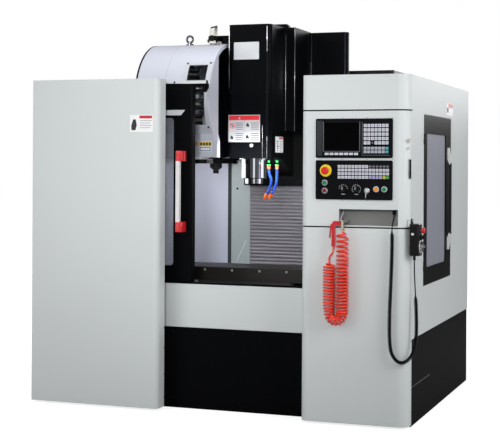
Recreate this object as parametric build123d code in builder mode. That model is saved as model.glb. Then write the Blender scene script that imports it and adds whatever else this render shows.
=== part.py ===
from build123d import *
import math
import os

os.makedirs("parts", exist_ok=True)

# Vertical machining centre. The machine's own zero is on the floor, under the middle of
# the front panels: +X to the right, +Y to the back, +Z up. The whole model is then set so
# that the middle of its outer box stands on the origin.

# Enclosure
width = 2209  # over the two side walls
depth = 1687  # front panels to the rear edge of the side walls
sheet = 3
floor_gap = 12
lip = 25  # folded edges of the sheet panels
corner_radius = 60  # right front corner
panel_corner = 8  # left front corner
bend_radius = 30
panel_right = -310  # inner edge of the left front panel
panel_return = 93
side_start = 89  # the front panels wrap round the corners to here
skirt_height = 456
skirt_inset = 4
skirt_front = 150
wall_bottom = 460

# Control column
control_width = 582.5
control_depth = 350
control_bend = 34
seam = 7  # black joints between the column's covers
seam_depth = 6
lower_seam = 1046
flange = 20
beam_room = 8  # round the sliding door's beam in the upper cover's notch

# Screen unit and operator unit
unit_width = 417
unit_height = 207
unit_proud = 8
unit_body = 60
unit_rim = 12
unit_corner = 8
unit_fit = 1
unit_gap = 12.5  # between the two units
unit_margin = 44  # from the screen unit to the upper seam
recess_field = 145.5  # from the lower seam to the operator unit
upper_cover = 188
unit_x = width / 2 - 292.5
operator_z = lower_seam + recess_field + unit_height / 2
screen_z = operator_z + unit_height + unit_gap
upper_seam = screen_z + unit_height / 2 + unit_margin
height = upper_seam + upper_cover
lcd_x = unit_x - 67.5
lcd_z = screen_z + 10
lcd_width = 187
lcd_height = 143
lcd_recess = 3
key_proud = 2

# Key fields: middle from the unit's middle, width and height, columns and rows
soft_keys = (-67.5, -82.5, 187, 16, 7, 1)
letter_keys = (120, 21, 136, 113, 7, 5)
cursor_keys = (120, -61.5, 136, 38, 7, 2)
machine_keys = (52, 43, 280, 76, 15, 4)

# Recess below the operator unit
recess_x = unit_x + 78
recess_width = 318
recess_z = lower_seam + 53
recess_height = 84
recess_depth = 80
gland_x = recess_x + 132
gland_y = 26
gland_radius = 9
gland_length = 25

# Buttons and switches: place on the operator unit, radius, travel
button_radius = 11
button_proud = 9
button_travel = 4
bezel_radius = 15
bezel_proud = 5
button_gap = 0.6
estop_x = unit_x - 152
estop_z = operator_z + 49
estop_radius = 20
estop_ring = 32
estop_travel = 6
start_x = unit_x - 157
start_z = operator_z - 15
stop_z = operator_z - 57
switch_z = operator_z - 47
mode_x = unit_x - 56
override_x = unit_x + 15
reset_x = unit_x + 122
light_x = unit_x + 166
key_x = unit_x + 73
key_z = operator_z - 55
knob_radius = 16
knob_proud = 20
stem_radius = 5
stem_length = 20

# Front apron, sill and chip pan
sill_height = 700
sill_depth = 110
pan_floor = 480
apron_left = -350
apron_right = width / 2 - control_width - 3

# Sliding door
door_left = -1080
door_width = 900
door_front = 170
door_thick = 50
door_bottom = 708
door_top = 1828
door_stile = 112
door_header = 192
door_rail = 90
glass_thick = 6
handle_x = -242.5
handle_width = 22
handle_bar = 24  # its depth
handle_bottom = 992
handle_top = 1447
handle_reach = 62
handle_foot = 57
handle_sole = 31  # width of an elbow on the door
beam_height = 18
beam_end = -97
beam_depth = 30
hook_size = 48
hook_width = 30
hook_past = 8  # beyond the beam's end
door_run = 0.3

# Side door
side_door_y = 365
side_door_width = 753
side_door_bottom = 718
side_door_top = 1650
side_door_thick = 28
side_door_gap = 3
side_glass_front = 85
side_glass_rear = 150
side_glass_bottom = 95
side_glass_top = 100
hinge_radius = 6

# Bed, saddle and table
bed_half = 380
bed_front = 280
bed_rear = 1640
bed_bottom = 30
bed_height = 500
foot_radius = 45
way_x = 205
way_width = 70
way_height = 60
way_rear = 1150
running = 0.3
saddle_half = 290
saddle_front = 500
saddle_length = 440
saddle_body = 80
table_half = 450
table_width = 320
table_y = 720
table_top = 765
table_thick = 80
slot_pitch = 100
slot_neck = 14
slot_head = 24
slot_neck_depth = 15
slot_depth = 27

# Column
column_half = 300
column_front = 1200
column_rear = 1640
column_top = 2020
rail_x = 140
rail_width = 44
arm_bottom = 1680
arm_top = 1820
cover_half = 445  # front shield
shield_depth = 44
cover_body = 310  # half width behind the shield
cover_front = 1166
cover_rear = 1662
cover_bottom = 1400
cover_top = 2200
cover_opening = 215

# Head and spindle
spindle_y = 713
head_bottom = 1243
head_front = 608
head_neck = 851  # where the cover steps out
head_rear = 1163.7
cover_half_front = 135
head_half = 207
nose_top = 1410
rib_half = 148
rib_height = 28
step_bottom = 1576
step_rear = 1098
casting_half = 120
quill_radius = 75
quill_bottom = 1290
nose_radius = 54
nose_bottom = 1257
taper_radius = 22
shaft_radius = 35
motor_half = 95
body_height = 350  # head casting between the nose and the motor
motor_height = 380
motor_room = 63  # from the motor to the cover's roof
motor_bottom = nose_top + body_height
head_top = motor_bottom + motor_height + motor_room

# Bellows over the column ways
bellows_half = 180
bellows_front = 1132
bellows_rear = 1160
bellows_bottom = 717
pleats = 16
pleat_depth = 10
wall_y = 1168  # splash wall beside the bellows
wall_top = 1385
wall_seam = -372

# Coolant nozzles
nozzle_y = 640
nozzle_x = (117, 167)
nozzle_radius = 8
valve_z = 1371

# Tool magazine
drum_radius = 347
drum_y = 713
drum_z = 1751
drum_left = -633
drum_right = -155
drum_bottom = 1414
drum_flat = 429  # the cover runs straight down from here
drum_rear = 1060
notch_x = -212
notch_y = 510
notch_lip = 20
roof_end = 825  # the roof over the notch stops short of the head's wide part
roof_fall = 60
window_left = -305
window_right = -187
window_bottom = 1602
window_top = 1952
pot_circle = 262
pot_radius = 40
pot_length = 100
pots = 16
pot_bore = 22
disc_x = -480
disc_thick = 14
axle_radius = 30

# Tool changer
changer_x = -248
changer_plate = 1406
shaft_bore = 0.3
changer_radius = 20
arm_reach = 250
changer_arm_top = 1402
arm_thick = 24
gripper_radius = 38
grip_radius = 29

# Air unit and lifting eye on the magazine
air_x = -240
air_z = 2086
eye_x = -423

# Rear electrical cabinet
cabinet_half = 613
cabinet_front = 1690
cabinet_rear = 2050
cabinet_bottom = 330
cabinet_top = 1997

# Hand pendant on its hook
pendant_left = width / 2 + 5.5
pendant_thick = 50
pendant_y = 40
pendant_width = 86
pendant_bottom = lower_seam - 141
pendant_height = 165
wheel_radius = 28
wheel_z = pendant_bottom + 46
wheel_proud = 20
pendant_knob_z = pendant_bottom + 95
pendant_stop_z = pendant_bottom + 131
pendant_stop_proud = 24

# Air gun and its hose
gun_y = -24
gun_thick = 20
gun_hose_x = recess_x - 181
hose_top = recess_z - 159
coil_top = hose_top - 96
coil_left = gun_hose_x - 19
coil_foot = 539
hose_radius = 5
coil_radius = 33
elbow_x = recess_x - 128
elbow_z = recess_z - 24
elbow_reach = 40
elbow_radius = 9
elbow_foot = elbow_z - 45
coil_turn = 34
cord_radius = 2.5
curl_radius = 10.5
tongue_width = 14
tongue_thick = 6

# Where the machine's own zero lies in the model
reach_right = pendant_left + pendant_thick + pendant_stop_proud
reach_front = elbow_reach + elbow_radius
mid = -(reach_right - width / 2) / 2
front = -(cabinet_rear - reach_front) / 2
side_x = width / 2
control_left = side_x - control_width

floor = Plane(origin=(mid, front, 0))
face = Plane(origin=(mid, front, 0), x_dir=(1, 0, 0), z_dir=(0, -1, 0))
side = Plane(origin=(mid, front, 0), x_dir=(0, 1, 0), z_dir=(1, 0, 0))


def block(x0, x1, y0, y1, z0, z1, mode=Mode.ADD):
    """A rectangular block between two corners, in machine coordinates."""
    with BuildSketch(floor.offset(z0)) as base:
        with Locations(((x0 + x1) / 2, (y0 + y1) / 2)):
            Rectangle(x1 - x0, y1 - y0)
    extrude(base.sketch, amount=z1 - z0, mode=mode)


def rod(plane, u, v, radius, length, mode=Mode.ADD):
    """A round bar that stands on a plane."""
    with BuildSketch(plane) as base:
        with Locations((u, v)):
            Circle(radius)
    extrude(base.sketch, amount=length, mode=mode)


def at_y(y):
    return face.offset(-y)


def at_x(x):
    return side.offset(x)


# Bed casting with two box ways
with BuildPart() as bed_casting:
    with BuildSketch(at_y(bed_front)):
        with BuildLine():
            Polyline(
                (-bed_half, bed_bottom),
                (bed_half, bed_bottom),
                (bed_half, bed_height - 140),
                (bed_half - 60, bed_height),
                (60 - bed_half, bed_height),
                (-bed_half, bed_height - 140),
                close=True,
            )
        make_face()
    extrude(amount=bed_front - bed_rear)
    for way in (-way_x, way_x):
        block(
            way - way_width / 2,
            way + way_width / 2,
            bed_front + 10,
            way_rear,
            bed_height,
            bed_height + way_height - running,
        )
bed_casting.part.label = "bed_casting"
export_step(bed_casting.part, "parts/bed_casting.step")

foot_places = [
    (x, y)
    for x in (60 - bed_half, bed_half - 60)
    for y in (bed_front + 80, (bed_front + bed_rear) / 2, bed_rear - 80)
]

# Levelling feet under the bed
with BuildPart() as levelling_feet:
    for x, y in foot_places:
        rod(floor, x, y, foot_radius, bed_bottom)
levelling_feet.part.label = "levelling_feet"
export_step(levelling_feet.part, "parts/levelling_feet.step")

# Black skirt round the foot of the machine
skirt_side = side_x - skirt_inset
with BuildPart() as base_skirt:
    with BuildSketch(floor):
        with Locations((0, (side_start + depth) / 2)):
            Rectangle(2 * skirt_side, depth - side_start)
        with Locations((0, (side_start + skirt_front) / 2)):
            Rectangle(
                2 * (skirt_side - sheet), skirt_front - side_start, mode=Mode.SUBTRACT
            )
        with Locations((0, (skirt_front + depth) / 2)):
            Rectangle(
                2 * (skirt_side - sheet),
                depth - skirt_front - 2 * sheet,
                mode=Mode.SUBTRACT,
            )
    extrude(amount=skirt_height)
base_skirt.part.label = "base_skirt"
export_step(base_skirt.part, "parts/base_skirt.step")

# White apron under the opening, its sill, and the chip pan behind it
pan_side = skirt_side - sheet - 1
bed_fit = 3
with BuildPart() as chip_pan:
    with BuildSketch(at_x(apron_left)):
        with BuildLine():
            Polyline(
                (skirt_front, skirt_height),
                (skirt_front, sill_height),
                (skirt_front + sill_depth, sill_height),
                (skirt_front + sill_depth, pan_floor),
                (skirt_front + sill_depth - sheet, pan_floor),
                (skirt_front + sill_depth - sheet, sill_height - sheet),
                (skirt_front + sheet, sill_height - sheet),
                (skirt_front + sheet, skirt_height),
                close=True,
            )
        make_face()
    extrude(amount=apron_right - apron_left)
    block(
        -pan_side,
        pan_side,
        skirt_front + sheet,
        depth - 20,
        skirt_height,
        skirt_height + sheet,
    )
    block(
        apron_left,
        apron_right,
        skirt_front + sill_depth - sheet,
        skirt_front + sill_depth,
        skirt_height,
        pan_floor,
    )
    block(
        -bed_half - bed_fit,
        bed_half + bed_fit,
        bed_front - bed_fit,
        bed_rear + bed_fit,
        skirt_height,
        skirt_height + sheet,
        mode=Mode.SUBTRACT,
    )
chip_pan.part.label = "chip_pan"
export_step(chip_pan.part, "parts/chip_pan.step")

# Left front panel: one folded sheet, closed at the top by its lip
with BuildPart() as left_front_panel:
    with BuildSketch(floor.offset(floor_gap)) as outline:
        with Locations(((panel_right - side_x) / 2, panel_return / 2)):
            Rectangle(panel_right + side_x, panel_return)
        fillet(outline.vertices().group_by(Axis.Y)[0].sort_by(Axis.X)[0], panel_corner)
        fillet(outline.vertices().group_by(Axis.Y)[0].sort_by(Axis.X)[-1], bend_radius)
    extrude(amount=height - floor_gap)
    offset(
        amount=-sheet,
        openings=left_front_panel.faces().sort_by(Axis.Z)[0:1]
        + left_front_panel.faces().sort_by(Axis.Y)[-1:],
    )
    block(
        -side_x + lip,
        panel_right - lip,
        lip,
        panel_return + 1,
        height - 2 * sheet,
        height + 1,
        mode=Mode.SUBTRACT,
    )
    block(
        -side_x - 1,
        -side_x + lip + 1,
        side_start,
        panel_return + 1,
        0,
        height + 1,
        mode=Mode.SUBTRACT,
    )
left_front_panel.part.label = "left_front_panel"
export_step(left_front_panel.part, "parts/left_front_panel.step")


def side_wall(sign):
    """One side wall with its folded rear return."""
    with BuildSketch(floor.offset(wall_bottom)) as plan:
        with BuildLine():
            Polyline(
                (sign * side_x, side_start),
                (sign * side_x, depth),
                (sign * (cabinet_half + 10), depth),
                (sign * (cabinet_half + 10), depth - sheet),
                (sign * (side_x - sheet), depth - sheet),
                (sign * (side_x - sheet), side_start),
                close=True,
            )
        make_face()
    extrude(plan.sketch, amount=height - wall_bottom)


# Left side wall
with BuildPart() as left_side_wall:
    side_wall(-1)
    block(
        -side_x + sheet,
        -side_x + lip,
        panel_return,
        depth - sheet,
        height - sheet,
        height,
    )
    # Upper guide of the sliding door
    block(
        -side_x + sheet,
        panel_right - 10,
        door_front + door_thick + door_run,
        door_front + door_thick + 22,
        door_top - 44,
        door_top - 4,
    )
left_side_wall.part.label = "left_side_wall"
export_step(left_side_wall.part, "parts/left_side_wall.step")

# Right side wall with the opening of the side door
door_frame = side_door_thick - 4
with BuildPart() as right_side_wall:
    side_wall(1)
    block(
        side_x - lip,
        side_x - sheet,
        control_depth,
        depth - sheet,
        height - sheet,
        height,
    )
    block(
        side_x - door_frame,
        side_x - sheet,
        side_door_y - side_door_gap - sheet,
        side_door_y + side_door_width + side_door_gap + sheet,
        side_door_bottom - side_door_gap - sheet,
        side_door_top + side_door_gap + sheet,
    )
    block(
        side_x - door_frame - 1,
        side_x + 1,
        side_door_y - side_door_gap,
        side_door_y + side_door_width + side_door_gap,
        side_door_bottom - side_door_gap,
        side_door_top + side_door_gap,
        mode=Mode.SUBTRACT,
    )
    for z in (side_door_bottom + 80, side_door_top - 160):
        rod(floor.offset(z), side_x + hinge_radius, side_door_y, hinge_radius, 28)
        block(
            side_x - sheet,
            side_x + hinge_radius,
            side_door_y - hinge_radius - side_door_gap,
            side_door_y - side_door_gap,
            z,
            z + 28,
        )
right_side_wall.part.label = "right_side_wall"
export_step(right_side_wall.part, "parts/right_side_wall.step")


def column_plan(inset):
    """The control column's outline from above, set in by a distance."""
    with BuildSketch(mode=Mode.PRIVATE) as plan:
        with Locations((side_x - control_width / 2, control_depth / 2)):
            Rectangle(control_width - 2 * inset, control_depth - 2 * inset)
        fillet(
            plan.vertices().group_by(Axis.Y)[0].sort_by(Axis.X)[0],
            max(control_bend - inset, 1),
        )
        fillet(
            plan.vertices().group_by(Axis.Y)[0].sort_by(Axis.X)[-1],
            max(corner_radius - inset, 1),
        )
    return plan.sketch


def column_ring(z0, z1, inset, wall):
    """A closed sheet ring of the control column between two heights."""
    with BuildSketch(floor.offset(z0)) as ring:
        add(column_plan(inset))
        add(column_plan(inset + wall), mode=Mode.SUBTRACT)
    extrude(ring.sketch, amount=z1 - z0)


def make_room_for_side_wall(z0, z1):
    """The side wall takes the place of the column's outer sheet behind the corner."""
    block(
        side_x - sheet,
        side_x + 1,
        side_start,
        control_depth + 1,
        z0 - 1,
        z1 + 1,
        mode=Mode.SUBTRACT,
    )


# Lower cover of the control column
lower_top = lower_seam - seam / 2
with BuildPart() as lower_column_cover:
    column_ring(floor_gap, lower_top, 0, sheet)
    column_ring(lower_top - sheet, lower_top, sheet, flange)
    make_room_for_side_wall(wall_bottom, lower_top)
    block(
        side_x - flange,
        side_x + 1,
        side_start,
        control_depth + 1,
        0,
        wall_bottom,
        mode=Mode.SUBTRACT,
    )
    block(
        control_left - 1,
        side_x - flange,
        skirt_front - 1,
        control_depth + 1,
        0,
        skirt_height + sheet + 1,
        mode=Mode.SUBTRACT,
    )
lower_column_cover.part.label = "lower_column_cover"
export_step(lower_column_cover.part, "parts/lower_column_cover.step")

# Upper cover of the control column, notched for the sliding door's beam
upper_bottom = upper_seam + seam / 2
with BuildPart() as upper_column_cover:
    column_ring(upper_bottom, height, 0, sheet)
    column_ring(upper_bottom, upper_bottom + sheet, sheet, flange)
    column_ring(height - sheet, height, sheet, flange)
    make_room_for_side_wall(upper_bottom, height)
    block(
        control_left - 1,
        control_left + flange + 100,
        door_front - beam_room,
        door_front + door_thick + beam_room,
        door_top - hook_size - 3 * beam_room,
        height + 1,
        mode=Mode.SUBTRACT,
    )
upper_column_cover.part.label = "upper_column_cover"
export_step(upper_column_cover.part, "parts/upper_column_cover.step")

unit_hole = (unit_width - 2 * unit_rim, unit_height - 2 * unit_rim)
recess_top = recess_z + recess_height / 2
tongue_top = recess_z - recess_height / 2
tongue_x = gun_hose_x + 16
# Housing of the screen and operator units, with the recess for the gland and the air gun
with BuildPart() as control_housing:
    column_ring(lower_seam + seam / 2, upper_seam - seam / 2, 0, sheet)
    column_ring(lower_top, lower_seam + seam / 2, seam_depth, sheet)
    column_ring(lower_seam + seam / 2, lower_seam + seam / 2 + sheet, sheet, flange)
    column_ring(upper_seam - seam / 2, upper_bottom, seam_depth, sheet)
    column_ring(upper_seam - seam / 2 - sheet, upper_seam - seam / 2, sheet, flange)
    make_room_for_side_wall(lower_top, upper_bottom)
    with BuildSketch(at_y(sheet)) as recess_outside:
        with Locations((recess_x, recess_z)):
            Rectangle(recess_width + 2 * sheet, recess_height + 2 * sheet)
    extrude(amount=-recess_depth)
    with BuildSketch(at_y(-1)):
        with Locations((recess_x, recess_z)):
            Rectangle(recess_width, recess_height)
    extrude(amount=-recess_depth - 1, mode=Mode.SUBTRACT)
    with BuildSketch(at_y(-1)):
        with Locations((unit_x, screen_z), (unit_x, operator_z)):
            Rectangle(*unit_hole)
    extrude(amount=-sheet - 2, mode=Mode.SUBTRACT)
    # Cable gland of the pendant in the recess's ceiling
    rod(
        floor.offset(recess_top - gland_length),
        gland_x,
        gland_y,
        gland_radius,
        gland_length,
    )
    # Peg of the hand pendant with its lip
    hook_z = pendant_bottom + pendant_height
    block(side_x - 7, side_x + 5, pendant_y - 20, pendant_y + 20, hook_z - 15, hook_z + 24)
    block(side_x, pendant_left + 14, pendant_y - 7, pendant_y + 7, hook_z + 12, hook_z + 18)
    block(
        pendant_left + 9,
        pendant_left + 14,
        pendant_y - 7,
        pendant_y + 7,
        hook_z + 12,
        hook_z + 24,
    )
    # Elbow of the air hose
    rod(at_y(recess_depth), elbow_x, elbow_z, 8, recess_depth + elbow_reach)
    rod(
        floor.offset(elbow_foot),
        elbow_x,
        -elbow_reach,
        elbow_radius,
        elbow_z + elbow_radius - elbow_foot,
    )
    # Tongue that carries the air gun
    block(
        tongue_x - tongue_width / 2,
        tongue_x + tongue_width / 2,
        gun_y - 12,
        sheet,
        tongue_top - tongue_thick,
        tongue_top,
    )
control_housing.part.label = "control_housing"
export_step(control_housing.part, "parts/control_housing.step")


def unit_plate(z):
    """The front flange and the body of one control unit."""
    with BuildSketch(at_y(0)) as plate:
        with Locations((unit_x, z)):
            RectangleRounded(unit_width, unit_height, unit_corner)
    extrude(plate.sketch, amount=unit_proud)
    with BuildSketch(at_y(0)) as body:
        with Locations((unit_x, z)):
            Rectangle(unit_hole[0] - 2 * unit_fit, unit_hole[1] - 2 * unit_fit)
    extrude(body.sketch, amount=-unit_body)


def key_field(unit_z, x, z, field_width, field_height, columns, rows):
    """A field of raised keys on a unit's face."""
    pitch_x = field_width / columns
    pitch_z = field_height / rows
    with BuildSketch(at_y(-unit_proud)) as keys:
        with Locations((unit_x + x, unit_z + z)):
            with GridLocations(pitch_x, pitch_z, columns, rows):
                Rectangle(pitch_x * 0.78, pitch_z * 0.74)
    extrude(keys.sketch, amount=key_proud)


# Screen unit
with BuildPart() as screen_unit:
    unit_plate(screen_z)
    with BuildSketch(at_y(-unit_proud)):
        with Locations((lcd_x, lcd_z)):
            Rectangle(lcd_width, lcd_height)
    extrude(amount=-lcd_recess, mode=Mode.SUBTRACT)
    key_field(screen_z, *soft_keys)
    key_field(screen_z, *letter_keys)
    key_field(screen_z, *cursor_keys)
screen_unit.part.label = "screen_unit"
export_step(screen_unit.part, "parts/screen_unit.step")

button_places = {
    "start": (start_x, start_z),
    "stop": (start_x, stop_z),
    "reset": (reset_x, switch_z),
    "light": (light_x, switch_z),
}
switch_places = {
    "mode": (mode_x, switch_z),
    "override": (override_x, switch_z),
    "key": (key_x, key_z),
}

# Operator unit with the bezels of its buttons and switches
with BuildPart() as operator_unit:
    unit_plate(operator_z)
    key_field(operator_z, *machine_keys)
    for x, z in list(button_places.values()) + list(switch_places.values()):
        rod(at_y(-unit_proud), x, z, bezel_radius, bezel_proud)
    rod(at_y(-unit_proud), estop_x, estop_z, estop_ring, bezel_proud)
    for x, z in button_places.values():
        rod(
            at_y(-unit_proud - bezel_proud),
            x,
            z,
            button_radius + button_gap,
            -stem_length,
            mode=Mode.SUBTRACT,
        )
    for x, z in list(switch_places.values()) + [(estop_x, estop_z)]:
        rod(
            at_y(-unit_proud - bezel_proud),
            x,
            z,
            stem_radius + button_gap,
            -stem_length,
            mode=Mode.SUBTRACT,
        )
operator_unit.part.label = "operator_unit"
export_step(operator_unit.part, "parts/operator_unit.step")


def front_edges():
    """The edges of the part being built that lie furthest to the front."""
    return BuildPart._get_context().part.edges().group_by(Axis.Y)[0]


def push_button(x, z):
    """A flat push button that travels in its bezel."""
    bottom = stem_length - unit_proud - bezel_proud - button_travel - 1
    top = unit_proud + bezel_proud + button_proud
    rod(at_y(bottom), x, z, button_radius, bottom + top)
    chamfer(front_edges(), 1.5)


with BuildPart() as start_button:
    push_button(*button_places["start"])
start_button.part.label = "start_button"
export_step(start_button.part, "parts/start_button.step")

with BuildPart() as stop_button:
    push_button(*button_places["stop"])
stop_button.part.label = "stop_button"
export_step(stop_button.part, "parts/stop_button.step")

with BuildPart() as reset_button:
    push_button(*button_places["reset"])
reset_button.part.label = "reset_button"
export_step(reset_button.part, "parts/reset_button.step")

with BuildPart() as light_button:
    push_button(*button_places["light"])
light_button.part.label = "light_button"
export_step(light_button.part, "parts/light_button.step")

# Emergency stop: a mushroom head on its stem
with BuildPart() as estop_button:
    stop_face = -unit_proud - bezel_proud
    rod(
        at_y(stop_face + stem_length - estop_travel - 1),
        estop_x,
        estop_z,
        stem_radius,
        stem_length,
    )
    rod(at_y(stop_face - estop_travel - 1), estop_x, estop_z, estop_radius, 18)
    fillet(front_edges(), 6)
estop_button.part.label = "estop_button"
export_step(estop_button.part, "parts/estop_button.step")


def rotary_knob(x, z):
    """A round knob with a raised pointer bar."""
    knob_face = -unit_proud - bezel_proud - running
    rod(at_y(knob_face + stem_length - 2), x, z, stem_radius, stem_length)
    rod(at_y(knob_face), x, z, knob_radius, knob_proud / 2)
    with BuildSketch(at_y(knob_face - knob_proud / 2)) as bar:
        with Locations((x, z)):
            Rectangle(knob_radius * 0.5, knob_radius * 1.8)
    extrude(bar.sketch, amount=knob_proud / 2)


with BuildPart() as mode_switch:
    rotary_knob(*switch_places["mode"])
mode_switch.part.label = "mode_switch"
export_step(mode_switch.part, "parts/mode_switch.step")

with BuildPart() as override_switch:
    rotary_knob(*switch_places["override"])
override_switch.part.label = "override_switch"
export_step(override_switch.part, "parts/override_switch.step")

with BuildPart() as key_switch:
    key_face = -unit_proud - bezel_proud - running
    rod(at_y(key_face + stem_length - 2), key_x, key_z, stem_radius, stem_length)
    rod(at_y(key_face), key_x, key_z, button_radius, 4)
    with BuildSketch(at_y(key_face - 4)):
        with Locations((key_x, key_z)):
            SlotOverall(20, 6, rotation=90)
    extrude(amount=14)
key_switch.part.label = "key_switch"
export_step(key_switch.part, "parts/key_switch.step")

# Splash walls on both sides of the bellows, and the shelf that carries the bellows
with BuildPart() as splash_walls:
    for sign in (-1, 1):
        with BuildSketch(floor.offset(sill_height - 10)) as wall_plan:
            with BuildLine():
                Polyline(
                    (sign * (bellows_half + 2), wall_y),
                    (sign * (side_x - sheet), wall_y),
                    (sign * (side_x - sheet), wall_y + sheet),
                    (sign * (bellows_half + 2 + sheet), wall_y + sheet),
                    (sign * (bellows_half + 2 + sheet), column_front),
                    (sign * (bellows_half + 2), column_front),
                    close=True,
                )
            make_face()
        extrude(wall_plan.sketch, amount=wall_top - sill_height + 10)
        block(
            min(sign * pan_side, sign * (bed_half + bed_fit)),
            max(sign * pan_side, sign * (bed_half + bed_fit)),
            wall_y,
            wall_y + sheet,
            skirt_height + sheet,
            sill_height - 10,
        )
    block(
        wall_seam - 6,
        wall_seam + 6,
        wall_y - 1,
        wall_y + 1.5,
        sill_height - 10,
        wall_top + 1,
        mode=Mode.SUBTRACT,
    )
    block(
        -bellows_half - 2,
        bellows_half + 2,
        bellows_front - pleat_depth,
        column_front,
        bellows_bottom - 12,
        bellows_bottom,
    )
splash_walls.part.label = "splash_walls"
export_step(splash_walls.part, "parts/splash_walls.step")

# Saddle: slides on the bed's ways and carries the table's ways
saddle_rear = saddle_front + saddle_length
saddle_bottom = bed_height + way_height
saddle_top = table_top - table_thick - running
with BuildPart() as saddle:
    with BuildSketch(at_x(-saddle_half)):
        with BuildLine():
            Polyline(
                (saddle_front, saddle_bottom),
                (saddle_rear, saddle_bottom),
                (saddle_rear, saddle_bottom + saddle_body - 20),
                (saddle_rear - 40, saddle_top),
                (saddle_rear - 110, saddle_top),
                (saddle_rear - 110, saddle_bottom + saddle_body),
                (saddle_front + 110, saddle_bottom + saddle_body),
                (saddle_front + 110, saddle_top),
                (saddle_front + 40, saddle_top),
                (saddle_front, saddle_bottom + saddle_body - 20),
                close=True,
            )
        make_face()
    extrude(amount=2 * saddle_half)
saddle.part.label = "saddle"
export_step(saddle.part, "parts/saddle.step")

# Table with three T-slots and a coolant gutter at each end
with BuildPart() as table:
    with BuildSketch(at_x(-table_half)):
        with Locations((table_y, table_top - table_thick / 2)):
            Rectangle(table_width, table_thick)
        with Locations(
            *[
                (table_y + n * slot_pitch, table_top - slot_neck_depth / 2)
                for n in (-1, 0, 1)
            ]
        ):
            Rectangle(slot_neck, slot_neck_depth, mode=Mode.SUBTRACT)
        with Locations(
            *[
                (table_y + n * slot_pitch, table_top - (slot_neck_depth + slot_depth) / 2)
                for n in (-1, 0, 1)
            ]
        ):
            Rectangle(slot_head, slot_depth - slot_neck_depth, mode=Mode.SUBTRACT)
    extrude(amount=2 * table_half)
    for end in (-1, 1):
        block(
            min(end * (table_half - 12), end * (table_half - 32)),
            max(end * (table_half - 12), end * (table_half - 32)),
            table_y - table_width / 2 + 12,
            table_y + table_width / 2 - 12,
            table_top - slot_depth - 3,
            table_top + 1,
            mode=Mode.SUBTRACT,
        )
table.part.label = "table"
export_step(table.part, "parts/table.step")

# Column casting with its two ways and the magazine's arm
with BuildPart() as column_casting:
    with BuildSketch(at_x(-column_half)):
        with BuildLine():
            Polyline(
                (column_front, bed_height),
                (column_rear, bed_height),
                (column_rear - 110, column_top),
                (column_front, column_top),
                close=True,
            )
        make_face()
    extrude(amount=2 * column_half)
    for way in (-rail_x, rail_x):
        block(
            way - rail_width / 2,
            way + rail_width / 2,
            head_rear + running,
            column_front,
            bellows_bottom + 3,
            column_top,
        )
    arm_y = column_front + 20
    block(-column_half - 320, -column_half, arm_y, arm_y + 100, arm_bottom, arm_top)
    block(
        -column_half - 320,
        -column_half - 180,
        drum_rear,
        arm_y,
        arm_bottom,
        arm_top,
    )
column_casting.part.label = "column_casting"
export_step(column_casting.part, "parts/column_casting.step")

# Black sheet cover over the top of the column: a wide shield in front of a narrower body
with BuildPart() as column_cover:
    with BuildSketch(floor.offset(cover_bottom)) as cover_plan:
        with Locations((0, cover_front + shield_depth / 2)):
            Rectangle(2 * cover_half, shield_depth)
        chamfer(cover_plan.vertices().group_by(Axis.Y)[0], 22)
        with Locations((0, (cover_front + cover_rear) / 2)):
            Rectangle(2 * cover_body, cover_rear - cover_front)
    extrude(amount=cover_top - cover_bottom)
    offset(amount=-sheet, openings=column_cover.faces().sort_by(Axis.Z)[0:1])
    block(
        -cover_opening,
        cover_opening,
        cover_front - 1,
        cover_front + sheet + 1,
        cover_bottom - 1,
        cover_top - sheet,
        mode=Mode.SUBTRACT,
    )
    # Posts that stand on the column and carry the roof
    for x in (-240, 240):
        block(x - 30, x + 30, column_front + 60, column_front + 120, column_top, cover_top - sheet)
    block(
        -cover_body - 1,
        -cover_body + sheet + 1,
        arm_y - 2,
        arm_y + 102,
        arm_bottom - 2,
        arm_top + 2,
        mode=Mode.SUBTRACT,
    )
column_cover.part.label = "column_cover"
export_step(column_cover.part, "parts/column_cover.step")

# Spindle head casting: a slide on the column's ways and a body that holds the spindle
quill_fit = 0.3
body_front = head_front + 20
with BuildPart() as head_casting:
    block(
        -head_half,
        head_half,
        step_rear,
        head_rear,
        head_bottom,
        head_top,
    )
    with BuildSketch(at_x(-casting_half)):
        with BuildLine():
            Polyline(
                (body_front, nose_top + 4),
                (head_neck, nose_top + 4),
                (step_rear + 1, head_bottom + 60),
                (step_rear + 1, motor_bottom + 240),
                (head_neck, motor_bottom),
                (body_front, motor_bottom),
                close=True,
            )
        make_face()
    extrude(amount=2 * casting_half)
    rod(
        floor.offset(nose_top),
        0,
        spindle_y,
        quill_radius + quill_fit,
        motor_bottom - nose_top + 1,
        mode=Mode.SUBTRACT,
    )
head_casting.part.label = "head_casting"
export_step(head_casting.part, "parts/head_casting.step")

# Spindle motor on top of the head
with BuildPart() as spindle_motor:
    with BuildSketch(floor.offset(motor_bottom)):
        with Locations((0, spindle_y + 5)):
            RectangleRounded(2 * motor_half, 2 * motor_half, 30)
    extrude(amount=motor_height)
spindle_motor.part.label = "spindle_motor"
export_step(spindle_motor.part, "parts/spindle_motor.step")

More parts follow.
